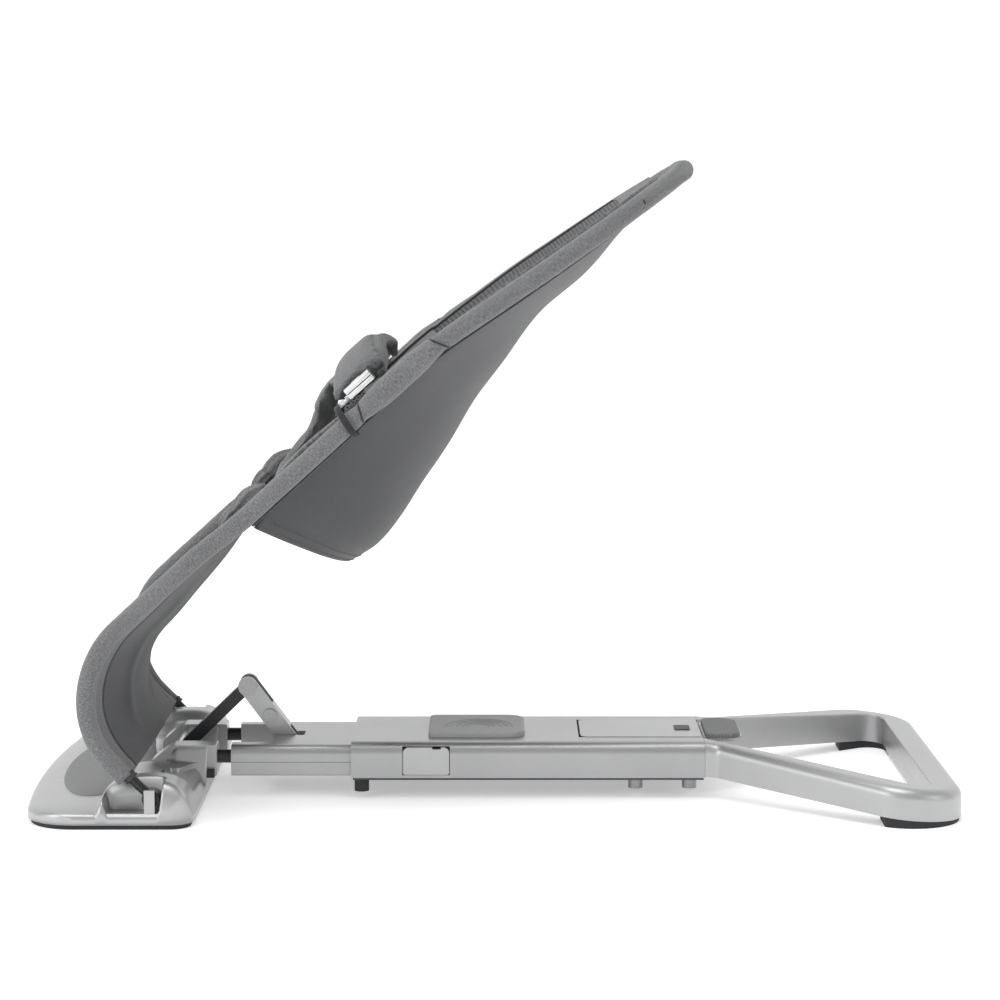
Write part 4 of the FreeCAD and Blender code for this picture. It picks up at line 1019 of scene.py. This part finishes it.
def make_foot():
    side = FOOT_HIGH.y
    rows = [-side + 2 * side * k / 280 for k in range(281)]
    rows[0], rows[-1] = -side + 1e-5, side - 1e-5
    top, bottom = [], []
    for y in rows:
        front, rear = foot_limits(y)
        xs = [front + (-0.342 - front) * (k / 26) ** 1.25 for k in range(26)]
        xs += [-0.342 + 0.070 * k / 50 for k in range(50)]
        xs += [-0.272 + (rear + 0.272) * k / 16 for k in range(17)]
        top.append([V((x, y, foot_height(x, y))) for x in xs])
        bottom.append([V((x, y, 0.0042)) for x in xs])
    paint = FINISHES["silver_plastic"]
    body = outward(closed_grid("foot_body", top, bottom, [paint], "foot"))
    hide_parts("foot_shell", "hub_cover_left", "hub_cover_right")
    rings, spokes = 16, 120
    vertices, faces = [], []
    for ring in range(rings + 1):
        s = 1 - (ring / rings) ** 1.6
        for k in range(spokes):
            angle = 2 * math.pi * k / spokes
            x, y = -0.345 + 0.038 * s * math.cos(angle), 0.134 * s * math.sin(angle)
            swell = 0.0011 * math.sqrt(max(1 - s ** 14, 0.0)) if ring else -0.0004
            vertices.append(V((x, y, max(foot_height(x, y), 0.0165) + swell)))
    for ring in range(rings):
        for k in range(spokes):
            after = (k + 1) % spokes
            inner = (ring + 1) * spokes
            faces.append((ring * spokes + k, ring * spokes + after, inner + after, inner + k))
    faces = faces[:-spokes]
    faces.append(tuple((rings - 1) * spokes + k for k in range(spokes)))
    vertices = vertices[:rings * spokes]
    under = len(vertices)
    vertices += [V((v.x, v.y, 0.0150)) for v in vertices[:spokes]]
    for k in range(spokes):
        after = (k + 1) % spokes
        faces.append((k, under + k, under + after, after))
    faces.append(tuple(under + k for k in reversed(range(spokes))))
    pad = outward(piece("toe_grip", vertices, faces, [TOE_GRIP], "foot"))
    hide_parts("toe_pad")


# ---------------------------------------------------------------- trim on the base

def make_badge_relief():
    """Plain ripple ornament on the badge pad."""
    low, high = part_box("badge_pad")
    centre = (low + high) / 2
    for number in range(5):
        line = []
        for k in range(49):
            angle = math.pi * k / 48
            reach = 0.010 + 0.006 * number
            line.append(V((centre.x + 0.002 + reach * 0.72 * math.cos(angle) * 1.25,
                           centre.y - 0.016 + reach * math.sin(angle), high.z + 0.0001)))
        tube(f"badge_ripple_{number}", resampled(line, 0.002), 0.00065, 8, BADGE_GRIP, "soft_grip", "housing")


def make_hoop_bend():
    """Rubber collars where the hoop's wire leaves the fabric."""
    for side, sign in SIDES:
        start = AXLE + V((0, sign * HOOP_Y, 0))
        way = (TOE_LOW - AXLE).normalized()
        line = [start + way * (0.0225 + 0.0012 * k) for k in range(6)]
        tube(f"wire_collar_{side}", line, lambda d, a: 0.0062 + 0.0006 * math.sin(d * 2000), 20,
             FINISHES["dark_plastic"], "dark_plastic", "seat")


make_sling()
make_liner()
make_leg_panel()
make_rims()
make_head_pocket()
make_corner_tabs()
make_chest_pad()
make_clips()
make_foot()
make_badge_relief()
make_hoop_bend()


# ---------------------------------------------------------------- studio

def make_studio():
    mesh = bpy.data.meshes.new("studio_floor")
    mesh.from_pydata([(-30, -12, 0), (30, -12, 0), (30, 40, 0), (-30, 40, 0)], [], [(0, 1, 2, 3)])
    floor = bpy.data.objects.new("studio_floor", mesh)
    floor.data.materials.append(pale_floor())
    bpy.context.scene.collection.objects.link(floor)
    wall_mesh = bpy.data.meshes.new("studio_wall")
    wall_mesh.from_pydata([(-40, 12, -1), (40, 12, -1), (40, 12, 20), (-40, 12, 20)], [], [(0, 1, 2, 3)])
    wall = bpy.data.objects.new("studio_wall", wall_mesh)
    glow = Finish("studio_wall", 0.9, Emission_Color=(1, 1, 1, 1), Emission_Strength=0.9)
    glow.color(glow.noise(glow.place(), 3, 2), [(0.3, 0.18), (0.7, 0.20)])
    wall.data.materials.append(glow.material)
    bpy.context.scene.collection.objects.link(wall)
    world = bpy.data.worlds.new("studio")
    bpy.context.scene.world = world
    world.use_nodes = True
    world.node_tree.nodes["Background"].inputs[0].default_value = (1, 1, 1, 1)
    world.node_tree.nodes["Background"].inputs[1].default_value = 0.62
    target = V((0, 0, 0.2))
    for name, place, size, power in (("key", (-2.2, -1.6, 1.0), 1.5, 20),
                                     ("top", (-0.3, -0.5, 2.6), 1.6, 27),
                                     ("fill", (2.2, -1.2, 1.0), 1.2, 5)):
        lamp = bpy.data.lights.new(name, "AREA")
        lamp.size = size
        lamp.energy = power
        obj = bpy.data.objects.new(name, lamp)
        obj.location = place
        obj.rotation_euler = (target - V(place)).to_track_quat("-Z", "Y").to_euler()
        bpy.context.scene.collection.objects.link(obj)
    camera = bpy.data.cameras.new("camera")
    camera.sensor_width = 36
    camera.lens = 100.7
    camera.clip_end = 100
    obj = bpy.data.objects.new("camera", camera)
    obj.location = (0.006, -2.502, 0.543)
    obj.rotation_euler = (V((0.0085, 0, 0.2594)) - obj.location).to_track_quat("-Z", "Y").to_euler()
    bpy.context.scene.collection.objects.link(obj)
    bpy.context.scene.camera = obj
    bpy.context.scene.view_settings.view_transform = "Standard"


make_studio()
